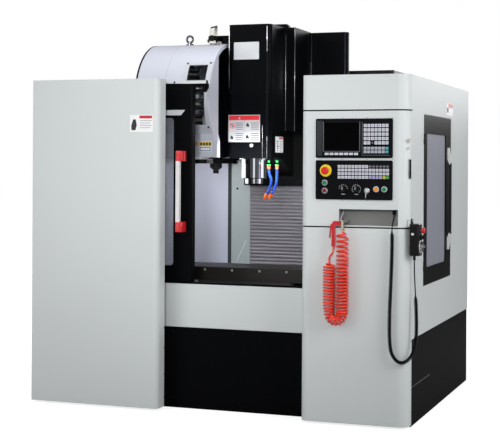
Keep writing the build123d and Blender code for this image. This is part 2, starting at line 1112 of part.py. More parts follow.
# Black sheet cover of the head, stepped out at the rear
with BuildPart() as head_cover:
    with BuildSketch(floor.offset(nose_top)) as nose_plan:
        with Locations((0, (head_front + head_neck + sheet) / 2)):
            Rectangle(2 * cover_half_front, head_neck + sheet - head_front)
        fillet(nose_plan.vertices().group_by(Axis.Y)[0], bend_radius)
    extrude(amount=head_top - nose_top)
    block(
        -head_half,
        head_half,
        head_neck,
        step_rear,
        step_bottom,
        head_top,
    )
    block(
        -cover_half_front + sheet,
        cover_half_front - sheet,
        head_front + 60,
        step_rear + 1,
        step_bottom - sheet,
        head_top - sheet,
        mode=Mode.SUBTRACT,
    )
    with BuildSketch(floor.offset(nose_top - 1)) as inner_plan:
        with Locations((0, (head_front + head_neck + sheet) / 2 + sheet)):
            Rectangle(2 * (cover_half_front - sheet), head_neck + sheet - head_front)
        fillet(inner_plan.vertices().group_by(Axis.Y)[0], bend_radius - sheet)
    extrude(amount=head_top - sheet - nose_top + 1, mode=Mode.SUBTRACT)
    block(
        -head_half + sheet,
        head_half - sheet,
        head_neck + sheet,
        step_rear + 1,
        step_bottom - 1,
        head_top - sheet,
        mode=Mode.SUBTRACT,
    )
    # Stiffening rib across the roof
    block(-rib_half, rib_half, head_neck + 52, head_neck + 92, head_top, head_top + rib_height)
    chamfer(head_cover.edges().filter_by(Axis.Y).group_by(Axis.Z)[-1], rib_height / 2)
head_cover.part.label = "head_cover"
export_step(head_cover.part, "parts/head_cover.step")

# Spindle housing: the fixed chrome cartridge
with BuildPart() as spindle_housing:
    with BuildSketch(at_x(0)):
        with BuildLine():
            Polyline(
                (spindle_y + shaft_radius + quill_fit, quill_bottom),
                (spindle_y + quill_radius - 4, quill_bottom),
                (spindle_y + quill_radius, quill_bottom + 4),
                (spindle_y + quill_radius, nose_top - 6),
                (spindle_y + quill_radius + 14, nose_top - 6),
                (spindle_y + quill_radius + 14, nose_top + 4),
                (spindle_y + quill_radius, nose_top + 4),
                (spindle_y + quill_radius, motor_bottom - 20),
                (spindle_y + shaft_radius + quill_fit, motor_bottom - 20),
                close=True,
            )
        make_face()
    revolve(axis=Axis((mid, front + spindle_y, 0), (0, 0, 1)))
spindle_housing.part.label = "spindle_housing"
export_step(spindle_housing.part, "parts/spindle_housing.step")

# Spindle: the turning nose with its taper bore, drive slots and shaft
with BuildPart() as spindle:
    with BuildSketch(at_x(0)):
        with BuildLine():
            Polyline(
                (spindle_y + taper_radius, nose_bottom),
                (spindle_y + nose_radius - 3, nose_bottom),
                (spindle_y + nose_radius, nose_bottom + 3),
                (spindle_y + nose_radius, quill_bottom - running),
                (spindle_y + shaft_radius, quill_bottom - running),
                (spindle_y + shaft_radius, motor_bottom - 12),
                (spindle_y, motor_bottom - 12),
                (spindle_y, nose_bottom + 95),
                (spindle_y + 9, nose_bottom + 95),
                (spindle_y + 9, nose_bottom + 68),
                close=True,
            )
        make_face()
    revolve(axis=Axis((mid, front + spindle_y, 0), (0, 0, 1)))
    block(
        -nose_radius - 1,
        nose_radius + 1,
        spindle_y - 8,
        spindle_y + 8,
        nose_bottom - 1,
        nose_bottom + 9,
        mode=Mode.SUBTRACT,
    )
spindle.part.label = "spindle"
export_step(spindle.part, "parts/spindle.step")


def zigzag(plane, near, far, deep, sign):
    """The pleated outline of the bellows on a vertical plane."""
    step = (head_bottom - bellows_bottom) / (2 * pleats)
    teeth = [
        (near + sign * deep * (n % 2), bellows_bottom + n * step)
        for n in range(2 * pleats + 1)
    ]
    with BuildSketch(plane) as outline:
        with BuildLine():
            Polyline(*teeth, (far, head_bottom), (far, bellows_bottom), close=True)
        make_face()
    return outline.sketch


# Bellows over the column ways, folded in sixteen pleats
with BuildPart() as z_bellows:
    extrude(
        zigzag(at_x(-bellows_half), bellows_front, bellows_rear, pleat_depth, 1),
        amount=2 * bellows_half,
    )
z_bellows.part.label = "z_bellows"
export_step(z_bellows.part, "parts/z_bellows.step")

# Coolant nozzles under the head: two bent hoses with valve bodies
with BuildPart() as coolant_nozzles:
    for x0, x1, top in (
        (nozzle_x[0] - 18, cover_half_front - 4, nose_top),
        (cover_half_front - 4, nozzle_x[1] + 18, nose_top - 1),
    ):
        block(x0, x1, nozzle_y - 14, nozzle_y + 14, nose_top - 14, top)
    for x, drop in zip(nozzle_x, (-30, -12)):
        rod(floor.offset(valve_z - 12), x, nozzle_y, 10, nose_top - 14 - valve_z + 12)
        with BuildLine() as hose_line:
            Spline(
                (mid + x, front + nozzle_y, valve_z - 12),
                (mid + x + 12, front + nozzle_y - 6, valve_z - 90),
                (mid + x + drop, front + nozzle_y - 2, 1195),
                tangents=[(0, 0, -1), (-0.5, 0.1, -1)],
            )
        with BuildSketch(Plane(hose_line.line @ 0, z_dir=hose_line.line % 0)) as hose_section:
            Circle(nozzle_radius)
        sweep(hose_section.sketch, path=hose_line.line)
        tip = Plane(hose_line.line @ 1, z_dir=hose_line.line % 1)
        with BuildSketch(tip) as cone_base:
            Circle(nozzle_radius)
        with BuildSketch(tip.offset(32)) as cone_tip:
            Circle(3.5)
        loft([cone_base.sketch.face(), cone_tip.sketch.face()])
        with BuildSketch(at_y(nozzle_y - 11)) as valve_bore:
            with Locations((x, valve_z)):
                Circle(4.3)
        extrude(valve_bore.sketch, amount=-9, mode=Mode.SUBTRACT)
coolant_nozzles.part.label = "coolant_nozzles"
export_step(coolant_nozzles.part, "parts/coolant_nozzles.step")


def valve_lever(x):
    """A small lever on the stem of one valve."""
    rod(at_y(nozzle_y - 4), x, valve_z, 4, 12)
    with BuildSketch(at_y(nozzle_y - 16)) as lever:
        with Locations((x + 6, valve_z)):
            SlotOverall(26, 8)
    extrude(lever.sketch, amount=5)


with BuildPart() as left_valve:
    valve_lever(nozzle_x[0])
left_valve.part.label = "left_valve"
export_step(left_valve.part, "parts/left_valve.step")

with BuildPart() as right_valve:
    valve_lever(nozzle_x[1])
right_valve.part.label = "right_valve"
export_step(right_valve.part, "parts/right_valve.step")

# Sliding door: a folded frame, its window, its handle and its closing beam
door_right = door_left + door_width
door_rear = door_front + door_thick
glass_left = door_left + door_stile
glass_right = door_right - door_stile
glass_bottom = door_bottom + door_rail
glass_top = door_top - door_header
glass_y = door_front + 12
with BuildPart() as sliding_door:
    with BuildSketch(at_y(door_front)):
        with Locations(((door_left + door_right) / 2, (door_bottom + door_top) / 2)):
            Rectangle(door_width, door_top - door_bottom)
        with Locations(((glass_left + glass_right) / 2, (glass_bottom + glass_top) / 2)):
            RectangleRounded(
                glass_right - glass_left, glass_top - glass_bottom, 20, mode=Mode.SUBTRACT
            )
    extrude(amount=-door_thick)
    chamfer(
        sliding_door.edges().filter_by(Axis.Z).group_by(Axis.Y)[0].sort_by(Axis.X)[-1], 6
    )
    with BuildSketch(at_y(glass_y)):
        with Locations(((glass_left + glass_right) / 2, (glass_bottom + glass_top) / 2)):
            Rectangle(glass_right - glass_left + 20, glass_top - glass_bottom + 20)
    extrude(amount=-glass_thick, mode=Mode.SUBTRACT)
    # Closing beam along the door's top edge, with the hook beneath its right end
    block(
        door_left + 20,
        beam_end,
        door_front,
        door_front + beam_depth,
        door_top,
        door_top + beam_height,
    )
    with BuildSketch(at_y(door_front + 4)):
        with BuildLine():
            hook_right = beam_end + hook_past
            Polyline(
                (door_right, door_top),
                (hook_right, door_top),
                (hook_right, door_top - hook_size / 2),
                (hook_right - hook_width / 2, door_top - hook_size),
                (hook_right - hook_width, door_top - hook_size),
                (hook_right - hook_width, door_top - 18),
                (door_right, door_top - 12),
                close=True,
            )
        make_face()
    extrude(amount=8 - beam_depth)
sliding_door.part.label = "sliding_door"
export_step(sliding_door.part, "parts/sliding_door.step")

pane_fit = 0.1
with BuildPart() as door_glass:
    with BuildSketch(at_y(glass_y + pane_fit)):
        with Locations(((glass_left + glass_right) / 2, (glass_bottom + glass_top) / 2)):
            Rectangle(
                glass_right - glass_left + 20 - 2 * pane_fit,
                glass_top - glass_bottom + 20 - 2 * pane_fit,
            )
    extrude(amount=2 * pane_fit - glass_thick)
door_glass.part.label = "door_glass"
export_step(door_glass.part, "parts/door_glass.step")

# Handle: a vertical bar between two elbows that reach back to the door's stile
with BuildPart() as door_handle:
    with BuildSketch(at_y(door_front - handle_reach)):
        with Locations((handle_x, (handle_bottom + handle_top) / 2)):
            RectangleRounded(handle_width, handle_top - handle_bottom, 9)
    extrude(amount=-handle_bar)
    bar_left = handle_x - handle_width / 2
    bar_right = handle_x + handle_width / 2
    sole_right = bar_right + 17
    for z in (handle_bottom, handle_top - handle_foot):
        with BuildSketch(floor.offset(z)) as elbow:
            with BuildLine():
                Polyline(
                    (bar_left, door_front - handle_reach),
                    (bar_right + 4, door_front - handle_reach),
                    (sole_right, door_front - 24),
                    (sole_right, door_front),
                    (sole_right - handle_sole, door_front),
                    (sole_right - handle_sole, door_front - 20),
                    (bar_left, door_front - handle_reach + handle_bar),
                    close=True,
                )
            make_face()
            fillet(elbow.vertices().group_by(Axis.Y)[0].sort_by(Axis.X)[-1], 6)
        extrude(elbow.sketch, amount=handle_foot)
door_handle.part.label = "door_handle"
export_step(door_handle.part, "parts/door_handle.step")

# Track of the sliding door: a rib on the sill and an upper guide behind the left panel
with BuildPart() as door_track:
    track_end = control_left - 4
    block(
        door_left,
        track_end,
        door_front + 15,
        door_rear - 15,
        sill_height,
        door_bottom - door_run,
    )
    block(
        -side_x + sheet,
        apron_left,
        skirt_front + sheet,
        skirt_front + sill_depth,
        sill_height - 12,
        sill_height,
    )
door_track.part.label = "door_track"
export_step(door_track.part, "parts/door_track.step")

# Side door: a flush frame with a window, its hinge knuckles on the front edge
side_door_inner = side_x - side_door_thick
with BuildPart() as side_door:
    with BuildSketch(at_x(side_door_inner)):
        with Locations(
            (side_door_y + side_door_width / 2, (side_door_bottom + side_door_top) / 2)
        ):
            Rectangle(side_door_width, side_door_top - side_door_bottom)
        pane_y = (2 * side_door_y + side_door_width + side_glass_front - side_glass_rear) / 2
        pane_z = (side_door_bottom + side_door_top + side_glass_bottom - side_glass_top) / 2
        pane_width = side_door_width - side_glass_front - side_glass_rear
        pane_height = (
            side_door_top - side_door_bottom - side_glass_bottom - side_glass_top
        )
        with Locations((pane_y, pane_z)):
            RectangleRounded(pane_width, pane_height, 16, mode=Mode.SUBTRACT)
    extrude(amount=side_door_thick)
    with BuildSketch(at_x(side_x - 12)):
        with Locations((pane_y, pane_z)):
            Rectangle(pane_width + 20, pane_height + 20)
    extrude(amount=glass_thick, mode=Mode.SUBTRACT)
    for z in (side_door_bottom + 108.3, side_door_top - 131.7):
        rod(floor.offset(z), side_x + hinge_radius, side_door_y, hinge_radius, 28)
        block(
            side_x - 1,
            side_x + hinge_radius,
            side_door_y,
            side_door_y + hinge_radius + 4,
            z,
            z + 28,
        )
side_door.part.label = "side_door"
export_step(side_door.part, "parts/side_door.step")

with BuildPart() as side_glass:
    with BuildSketch(at_x(side_x - 12 + pane_fit)):
        with Locations((pane_y, pane_z)):
            Rectangle(pane_width + 20 - 2 * pane_fit, pane_height + 20 - 2 * pane_fit)
    extrude(amount=glass_thick - 2 * pane_fit)
side_glass.part.label = "side_glass"
export_step(side_glass.part, "parts/side_glass.step")

# Slim grip on the side door's rear stile
grip_y = 1026
grip_bottom = 878
grip_top = 1479
with BuildPart() as side_handle:
    with BuildSketch(at_y(grip_y - 11)):
        with BuildLine():
            Polyline(
                (side_x, grip_bottom),
                (side_x + 10, grip_bottom),
                (side_x + 22, grip_bottom + 90),
                (side_x + 22, grip_top - 90),
                (side_x + 10, grip_top),
                (side_x, grip_top),
                (side_x, grip_top - 70),
                (side_x + 12, grip_top - 100),
                (side_x + 12, grip_bottom + 100),
                (side_x, grip_bottom + 70),
                close=True,
            )
        make_face()
    extrude(amount=-22)
side_handle.part.label = "side_handle"
export_step(side_handle.part, "parts/side_handle.step")


def drum_outline(inset):
    """The magazine cover's outline in side view, set in by a distance."""
    radius = drum_radius - inset
    flat = drum_flat + inset
    start = drum_z - math.sqrt(radius**2 - (drum_y - flat) ** 2)
    with BuildSketch(at_x(drum_left + inset)) as outline:
        with BuildLine():
            arc_end = (drum_y, drum_z + radius)
            Line((flat, drum_bottom), (flat, start))
            ThreePointArc((flat, start), (drum_y - radius, drum_z), arc_end)
            Line(arc_end, (drum_rear - inset, drum_z + radius - roof_fall))
            Line((drum_rear - inset, drum_z + radius - roof_fall), (drum_rear - inset, drum_bottom))
            Line((drum_rear - inset, drum_bottom), (flat, drum_bottom))
        make_face()
    return outline.sketch


def notch_outline(inset):
    """The space beside the head in side view, under a roof that is an inset thick."""
    radius = drum_radius - inset
    rise = math.sqrt(radius**2 - (drum_y - notch_y) ** 2)
    fall = roof_fall * (roof_end - drum_y) / (drum_rear - drum_y)
    middle = math.radians(90) + math.asin((drum_y - notch_y) / radius) / 2
    with BuildSketch(at_x(notch_x)) as outline:
        with BuildLine():
            Polyline(
                (drum_y, drum_z + radius),
                (roof_end, drum_z + radius - fall),
                (roof_end, drum_z + drum_radius + 1),
                (drum_rear + 1, drum_z + drum_radius + 1),
                (drum_rear + 1, drum_bottom - 1),
                (notch_y + 30, drum_bottom - 1),
                (notch_y + 30, drum_z - 240),
                (notch_y, drum_z - 200),
                (notch_y, drum_z + rise),
            )
            ThreePointArc(
                (notch_y, drum_z + rise),
                (drum_y + radius * math.cos(middle), drum_z + radius * math.sin(middle)),
                (drum_y, drum_z + radius),
            )
        make_face()
    return outline.sketch


# Magazine cover with its window, open underneath, with the axle of the tool disc
with BuildPart() as magazine_cover:
    extrude(drum_outline(0), amount=drum_right - drum_left)
    extrude(notch_outline(notch_lip), amount=drum_right - notch_x + 1, mode=Mode.SUBTRACT)
    extrude(notch_outline(sheet), amount=drum_right - notch_x - sheet, mode=Mode.SUBTRACT)
    extrude(drum_outline(sheet), amount=notch_x - drum_left - 2 * sheet, mode=Mode.SUBTRACT)
    with BuildSketch(at_x(notch_x - sheet - 1)):
        with BuildLine():
            inner_radius = drum_radius - sheet
            inner_flat = drum_flat + sheet
            inner_start = drum_z - math.sqrt(inner_radius**2 - (drum_y - inner_flat) ** 2)
            high = (notch_y - sheet, drum_z + math.sqrt(
                inner_radius**2 - (drum_y - notch_y + sheet) ** 2
            ))
            Line((inner_flat, drum_bottom - 1), (inner_flat, inner_start))
            ThreePointArc((inner_flat, inner_start), (drum_y - inner_radius, drum_z), high)
            Line(high, (notch_y - sheet, drum_bottom - 1))
            Line((notch_y - sheet, drum_bottom - 1), (inner_flat, drum_bottom - 1))
        make_face()
    extrude(amount=drum_right - notch_x + 1, mode=Mode.SUBTRACT)
    block(
        drum_left + sheet,
        notch_x - sheet,
        drum_flat + sheet,
        drum_rear - sheet,
        drum_bottom - 1,
        drum_bottom + 1,
        mode=Mode.SUBTRACT,
    )
    block(
        window_left,
        window_right,
        drum_y - drum_radius - 1,
        drum_y - 150,
        window_bottom,
        window_top,
        mode=Mode.SUBTRACT,
    )
    rod(at_x(drum_left), drum_y, drum_z, axle_radius, disc_x + disc_thick + 30 - drum_left)
magazine_cover.part.label = "magazine_cover"
export_step(magazine_cover.part, "parts/magazine_cover.step")

# Tool disc with its pots
disc_fit = 0.3
with BuildPart() as tool_disc:
    with BuildSketch(at_x(disc_x)):
        with Locations((drum_y, drum_z)):
            Circle(pot_circle)
            Circle(axle_radius + disc_fit, mode=Mode.SUBTRACT)
            with PolarLocations(130, 6):
                Circle(42, mode=Mode.SUBTRACT)
    extrude(amount=disc_thick)
    with BuildSketch(at_x(disc_x - 40)):
        with Locations((drum_y, drum_z)):
            with PolarLocations(pot_circle, pots):
                Circle(pot_radius)
    extrude(amount=pot_length)
    with BuildSketch(at_x(disc_x - 41)):
        with Locations((drum_y, drum_z)):
            with PolarLocations(pot_circle, pots):
                Circle(pot_bore)
    extrude(amount=70, mode=Mode.SUBTRACT)
tool_disc.part.label = "tool_disc"
export_step(tool_disc.part, "parts/tool_disc.step")

# Tool changer: its gearbox in the magazine cover, the shaft that drops, the arm that swings
changer_top = 1560
with BuildPart() as changer_gearbox:
    block(changer_x - 60, notch_x - sheet, drum_y - 110, drum_y + 110, drum_bottom + 10, changer_top)
    rod(floor.offset(changer_plate), changer_x, drum_y, 44, drum_bottom - changer_plate)
    rod(floor.offset(drum_bottom), changer_x, drum_y, 32, 10)
    block(
        changer_x - 60,
        notch_x - sheet,
        drum_y + 110,
        drum_rear - sheet,
        drum_bottom + 60,
        changer_top - 30,
    )
    rod(
        floor.offset(changer_plate - 1),
        changer_x,
        drum_y,
        changer_radius + shaft_bore,
        changer_top - 20 - changer_plate,
        mode=Mode.SUBTRACT,
    )
changer_gearbox.part.label = "changer_gearbox"
export_step(changer_gearbox.part, "parts/changer_gearbox.step")

arm_under = changer_arm_top - arm_thick - 26
with BuildPart() as changer_shaft:
    rod(floor.offset(arm_under - 8.3), changer_x, drum_y, changer_radius + 8, 8)
    rod(floor.offset(arm_under - 34), changer_x, drum_y, changer_radius - 3, 26)
    rod(
        floor.offset(arm_under - 0.3),
        changer_x,
        drum_y,
        changer_radius,
        changer_top - 30 - arm_under,
    )
changer_shaft.part.label = "changer_shaft"
export_step(changer_shaft.part, "parts/changer_shaft.step")

with BuildPart() as changer_arm:
    with BuildSketch(floor.offset(changer_arm_top - arm_thick)):
        with Locations((changer_x, drum_y)):
            Rectangle(56, 2 * arm_reach - 30)
            with Locations((0, arm_reach), (0, -arm_reach)):
                Circle(gripper_radius)
                Circle(grip_radius, mode=Mode.SUBTRACT)
            with Locations((-gripper_radius, arm_reach), (gripper_radius, -arm_reach)):
                Rectangle(2 * grip_radius, 44, mode=Mode.SUBTRACT)
    extrude(amount=arm_thick)
    rod(floor.offset(arm_under), changer_x, drum_y, 37, 26)
    rod(
        floor.offset(arm_under - 1),
        changer_x,
        drum_y,
        changer_radius + shaft_bore,
        arm_thick + 30,
        mode=Mode.SUBTRACT,
    )
changer_arm.part.label = "changer_arm"
export_step(changer_arm.part, "parts/changer_arm.step")

# Air unit on the magazine: valve block, filter bowl and gauge
with BuildPart() as air_unit:
    air_y = 640
    block(air_x - 26, air_x + 26, air_y - 16, air_y + 22, drum_z + drum_radius, air_z + 56)
    block(air_x - 16, air_x + 16, drum_y - 6, drum_y + 6, drum_z + drum_radius, air_z + 20)
    block(air_x - 26, air_x + 26, drum_y - 16, drum_y + 16, drum_z + drum_radius, air_z + 40)
    block(air_x - 26, air_x + 26, air_y - 16, drum_y + 16, air_z + 30, air_z + 56)
    rod(floor.offset(air_z + 56), air_x - 6, air_y + 3, 17, 46)
    rod(at_y(air_y - 16), air_x, air_z + 42, 18, 12)
    rod(floor.offset(air_z + 56), air_x + 16, air_y + 3, 8, 62)
air_unit.part.label = "air_unit"
export_step(air_unit.part, "parts/air_unit.step")

# Lifting eye
with BuildPart() as lifting_eye:
    rod(floor.offset(drum_z + drum_radius), eye_x, drum_y, 22, 8)
    rod(floor.offset(drum_z + drum_radius + 8), eye_x, drum_y, 10, 10)
    with BuildSketch(at_x(eye_x)):
        with Locations((drum_y, drum_z + drum_radius + 56)):
            Circle(6.5)
    revolve(axis=Axis((mid + eye_x, front + drum_y, drum_z + drum_radius + 36), (0, 1, 0)))
lifting_eye.part.label = "lifting_eye"
export_step(lifting_eye.part, "parts/lifting_eye.step")

# Electrical cabinet on the back, carried on two rails from the column
with BuildPart() as electrical_cabinet:
    block(-cabinet_half, cabinet_half, cabinet_front, cabinet_rear - 22, cabinet_bottom, cabinet_top)
    chamfer(electrical_cabinet.edges().filter_by(Axis.Z), 12)
    block(-cabinet_half + 10, -3, cabinet_rear - 22, cabinet_rear, cabinet_bottom + 10, cabinet_top - 10)
    block(3, cabinet_half - 10, cabinet_rear - 22, cabinet_rear, cabinet_bottom + 10, cabinet_top - 10)
    for x in (-220, 180):
        block(x, x + 40, bed_rear, cabinet_front, bed_height - 38, bed_height - 5)
electrical_cabinet.part.label = "electrical_cabinet"
export_step(electrical_cabinet.part, "parts/electrical_cabinet.step")

# Hand pendant, hanging with its ring on the peg
pendant_right = pendant_left + pendant_thick
pendant_top = pendant_bottom + pendant_height
with BuildPart() as pendant:
    with BuildSketch(floor.offset(pendant_bottom)):
        with Locations(((pendant_left + pendant_right) / 2, pendant_y)):
            RectangleRounded(pendant_thick, pendant_width, 9)
    extrude(amount=pendant_height)
    chamfer(pendant.faces().sort_by(Axis.Z)[-1].edges(), 3)
    with BuildSketch(at_x(pendant_left + 2)):
        with Locations((pendant_y, pendant_top + 9)):
            RectangleRounded(32, 34, 5)
        with Locations((pendant_y, pendant_top + 10)):
            Rectangle(18, 16, mode=Mode.SUBTRACT)
    extrude(amount=6)
    rod(floor.offset(pendant_bottom - 26), pendant_left + 18, pendant_y, 7, 26)
    rod(at_y(pendant_y - pendant_width / 2), pendant_left + 18, pendant_stop_z - 18, 7, 5)
    for y in (pendant_y - 20, pendant_y + 20):
        rod(at_x(pendant_right), y, pendant_knob_z, stem_radius + button_gap, -16, mode=Mode.SUBTRACT)
    for z in (wheel_z, pendant_stop_z):
        rod(at_x(pendant_right), pendant_y, z, stem_radius + button_gap, -16, mode=Mode.SUBTRACT)
pendant.part.label = "pendant"
export_step(pendant.part, "parts/pendant.step")

with BuildPart() as pendant_wheel:
    rod(at_x(pendant_right - 12), pendant_y, wheel_z, stem_radius, 14)
    rod(at_x(pendant_right + running), pendant_y, wheel_z, wheel_radius, wheel_proud - 8)
    rod(at_x(pendant_right + wheel_proud - 8), pendant_y + 16, wheel_z, 5, 8)
pendant_wheel.part.label = "pendant_wheel"
export_step(pendant_wheel.part, "parts/pendant_wheel.step")

with BuildPart() as pendant_stop:
    rod(at_x(pendant_right - 10), pendant_y, pendant_stop_z, stem_radius, 20)
    rod(at_x(pendant_right + 7), pendant_y, pendant_stop_z, 14, pendant_stop_proud - 7)
    fillet(pendant_stop.edges().group_by(Axis.X)[-1], 4)
pendant_stop.part.label = "pendant_stop"
export_step(pendant_stop.part, "parts/pendant_stop.step")


def selector(y):
    """A small selector knob with a pointer bar on the pendant's face."""
    rod(at_x(pendant_right - 12), y, pendant_knob_z, stem_radius, 14)
    rod(at_x(pendant_right + running), y, pendant_knob_z, 11, 9)
    with BuildSketch(at_x(pendant_right + 9)) as bar:
        with Locations((y, pendant_knob_z)):
            Rectangle(6, 20)
    extrude(bar.sketch, amount=7)


with BuildPart() as axis_selector:
    selector(pendant_y - 20)
axis_selector.part.label = "axis_selector"
export_step(axis_selector.part, "parts/axis_selector.step")

with BuildPart() as step_selector:
    selector(pendant_y + 20)
step_selector.part.label = "step_selector"
export_step(step_selector.part, "parts/step_selector.step")

# Air gun on its tongue, with its lever
with BuildPart() as air_gun:
    with BuildSketch(at_y(gun_y - gun_thick / 2)):
        with BuildLine():
            Polyline(
                (gun_hose_x - 9, hose_top + 4),
                (gun_hose_x + 8, hose_top + 4),
                (gun_hose_x + 8.5, tongue_top + running),
                (gun_hose_x + 39, tongue_top + running),
                (gun_hose_x + 41, tongue_top + 22),
                (gun_hose_x + 3, tongue_top + 22),
                (gun_hose_x - 8, tongue_top + 8),
                close=True,
            )
        make_face()
    extrude(amount=-gun_thick)
    rod(floor.offset(hose_top), gun_hose_x, gun_y, hose_radius + 2, 4)
    with BuildLine() as nozzle_line:
        Line(
            (mid + gun_hose_x + 35, front + gun_y, tongue_top + 14),
            (mid + gun_hose_x + 55, front + gun_y, tongue_top + 75),
        )
    with BuildSketch(Plane(nozzle_line.line @ 0, z_dir=nozzle_line.line % 0)) as nozzle_end:
        Circle(3.5)
    extrude(nozzle_end.sketch, amount=64)
air_gun.part.label = "air_gun"
export_step(air_gun.part, "parts/air_gun.step")

trigger_x = gun_hose_x - 10.9
trigger_z = tongue_top + 2
with BuildPart() as gun_trigger:
    with BuildSketch(at_y(gun_y - 7)):
        with BuildLine():
            Polyline(
                (trigger_x - 4, trigger_z + 3),
                (trigger_x + 2.5, trigger_z + 3),
                (trigger_x + 2.4, trigger_z - 3),
                (trigger_x - 3, trigger_z - 25),
                (trigger_x - 8, trigger_z - 70),
                (trigger_x - 13, trigger_z - 69),
                (trigger_x - 8, trigger_z - 24),
                close=True,
            )
        make_face()
    extrude(amount=-14)
gun_trigger.part.label = "gun_trigger"
export_step(gun_trigger.part, "parts/gun_trigger.step")


def cord_tube(points, radii, radius):
    """A cord's tube along straight runs joined by arcs, in machine coordinates."""
    places = [(mid + x, front + y, z) for x, y, z in points]
    with BuildLine() as route:
        FilletPolyline(*places, radius=radii)
    with BuildSketch(Plane(route.line @ 0, z_dir=route.line % 0)) as section:
        Circle(radius)
    sweep(section.sketch, path=route.line)


def arc_radii(points):
    """The arc at each corner: as large as its two runs allow."""
    radii = []
    for a, b, c in zip(points, points[1:], points[2:]):
        before = Vector(*b) - Vector(*a)
        after = Vector(*c) - Vector(*b)
        half_turn = math.radians(before.get_angle(after)) / 2
        radii.append(0.45 * min(before.length, after.length) / math.tan(half_turn))
    return radii


# The air hose: a straight tail from the gun, then the spiral, hanging in one loop
tail_points = [
    (gun_hose_x, gun_y, hose_top),
    (gun_hose_x, gun_y, hose_top - 33),
    (coil_left, -elbow_reach, coil_top + 33),
    (coil_left, -elbow_reach, coil_top),
]
with BuildPart() as hose_tail:
    cord_tube(tail_points, arc_radii(tail_points), hose_radius)
hose_tail.part.label = "hose_tail"
export_step(hose_tail.part, "parts/hose_tail.step")

coil_points = [
    (coil_left, -elbow_reach, coil_top),
    (coil_left, -elbow_reach, coil_foot),
    (elbow_x, -elbow_reach, coil_foot),
    (elbow_x, -elbow_reach, elbow_foot),
]
with BuildPart() as hose_coil:
    cord_tube(coil_points, [coil_turn, coil_turn], coil_radius)
hose_coil.part.label = "hose_coil"
export_step(hose_coil.part, "parts/hose_coil.step")

# The pendant's curly cord, then its straight tail
curl_points = [
    (gland_x, gland_y, recess_top - gland_length),
    (gland_x, gland_y, 1098),
    (1022, -22, 1060),
    (1024, -22, 960),
    (1019, -22, 780),
    (1011, -22, 600),
    (1012, -24, 450),
    (1028, -26, 382),
    (1073, -24, 344),
    (1121, -4, 372),
    (1141, 24, 440),
    (1144, 34, 560),
    (1135, 38, 703),
]
with BuildPart() as pendant_curl:
    cord_tube(curl_points, arc_radii(curl_points), curl_radius)
pendant_curl.part.label = "pendant_curl"
export_step(pendant_curl.part, "parts/pendant_curl.step")

lead_points = [
    (1135, 38, 703),
    (1131.1, 39.73, 765),
    (pendant_left + 18, pendant_y, 822),
    (pendant_left + 18, pendant_y, pendant_bottom - 26),
]
with BuildPart() as pendant_lead:
    cord_tube(lead_points, arc_radii(lead_points), cord_radius)
pendant_lead.part.label = "pendant_lead"
export_step(pendant_lead.part, "parts/pendant_lead.step")

for name, points in (("tail", tail_points), ("curl", curl_points), ("lead", lead_points)):
    print(name, [round(r) for r in arc_radii(points)])
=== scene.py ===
"""Looks of an enclosed vertical machining centre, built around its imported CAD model."""

import math

import bmesh
import bpy
from mathutils import Euler, Matrix, Vector


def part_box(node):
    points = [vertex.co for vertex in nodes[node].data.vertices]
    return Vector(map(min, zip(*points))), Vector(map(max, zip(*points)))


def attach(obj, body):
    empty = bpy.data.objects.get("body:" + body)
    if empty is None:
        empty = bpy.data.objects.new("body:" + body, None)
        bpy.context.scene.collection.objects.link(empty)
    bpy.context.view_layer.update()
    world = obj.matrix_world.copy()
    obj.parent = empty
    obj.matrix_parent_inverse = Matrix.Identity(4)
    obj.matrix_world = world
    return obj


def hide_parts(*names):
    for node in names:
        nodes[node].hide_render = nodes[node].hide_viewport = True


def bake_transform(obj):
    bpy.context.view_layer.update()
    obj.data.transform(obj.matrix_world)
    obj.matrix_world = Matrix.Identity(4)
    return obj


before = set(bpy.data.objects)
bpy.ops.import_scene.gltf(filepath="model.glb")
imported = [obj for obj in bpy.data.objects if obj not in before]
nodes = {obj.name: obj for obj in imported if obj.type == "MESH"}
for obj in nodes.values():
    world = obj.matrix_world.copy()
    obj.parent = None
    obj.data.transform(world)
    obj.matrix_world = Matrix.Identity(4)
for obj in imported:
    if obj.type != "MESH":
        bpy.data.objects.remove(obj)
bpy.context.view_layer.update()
MM = 0.001

# The machine's own zero: on the floor, under the middle of the front panels
bed_low, bed_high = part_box("bed_casting")
MID = (bed_low.x + bed_high.x) / 2
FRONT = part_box("left_front_panel")[0].y
ZERO = Vector((MID, FRONT, 0))


def at(x, y, z):
    """A place on the machine, given in millimetres from its own zero, in the frame."""
    return Vector((MID + x * MM, FRONT + y * MM, z * MM))


def mm_box(name):
    """A CAD node's lowest and highest corners in millimetres from the machine's zero."""
    low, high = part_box(name)
    return (low - ZERO) / MM, (high - ZERO) / MM


def end_of(name, side, axis):
    """Where a CAD node ends on an axis, at its low (0) or high (1) side, to a tenth."""
    return round(getattr(mm_box(name)[side], axis), 1)


def middle_of(name, axes="xz"):
    """A CAD node's middle on each of some axes, to a tenth."""
    low, high = mm_box(name)
    return [round((getattr(low, axis) + getattr(high, axis)) / 2, 1) for axis in axes]


# Planes that the added pieces lie on, in millimetres
HEAD_FACE = end_of("head_cover", 0, "y")
SLIDE_FACE = end_of("head_cover", 1, "y")
DOOR_FACE = end_of("sliding_door", 0, "y")
TABLE_FACE = end_of("table", 0, "y")
RIGHT_SIDE = end_of("lower_column_cover", 1, "x")
CABINET_BACK = end_of("electrical_cabinet", 1, "y")
KEY_TOPS = end_of("screen_unit", 0, "y")
SCREEN_FACE = KEY_TOPS + 2
HEAD_SIDE = 135
MAGAZINE_FACE = 429
ROOM_BACK = 1168


# Materials


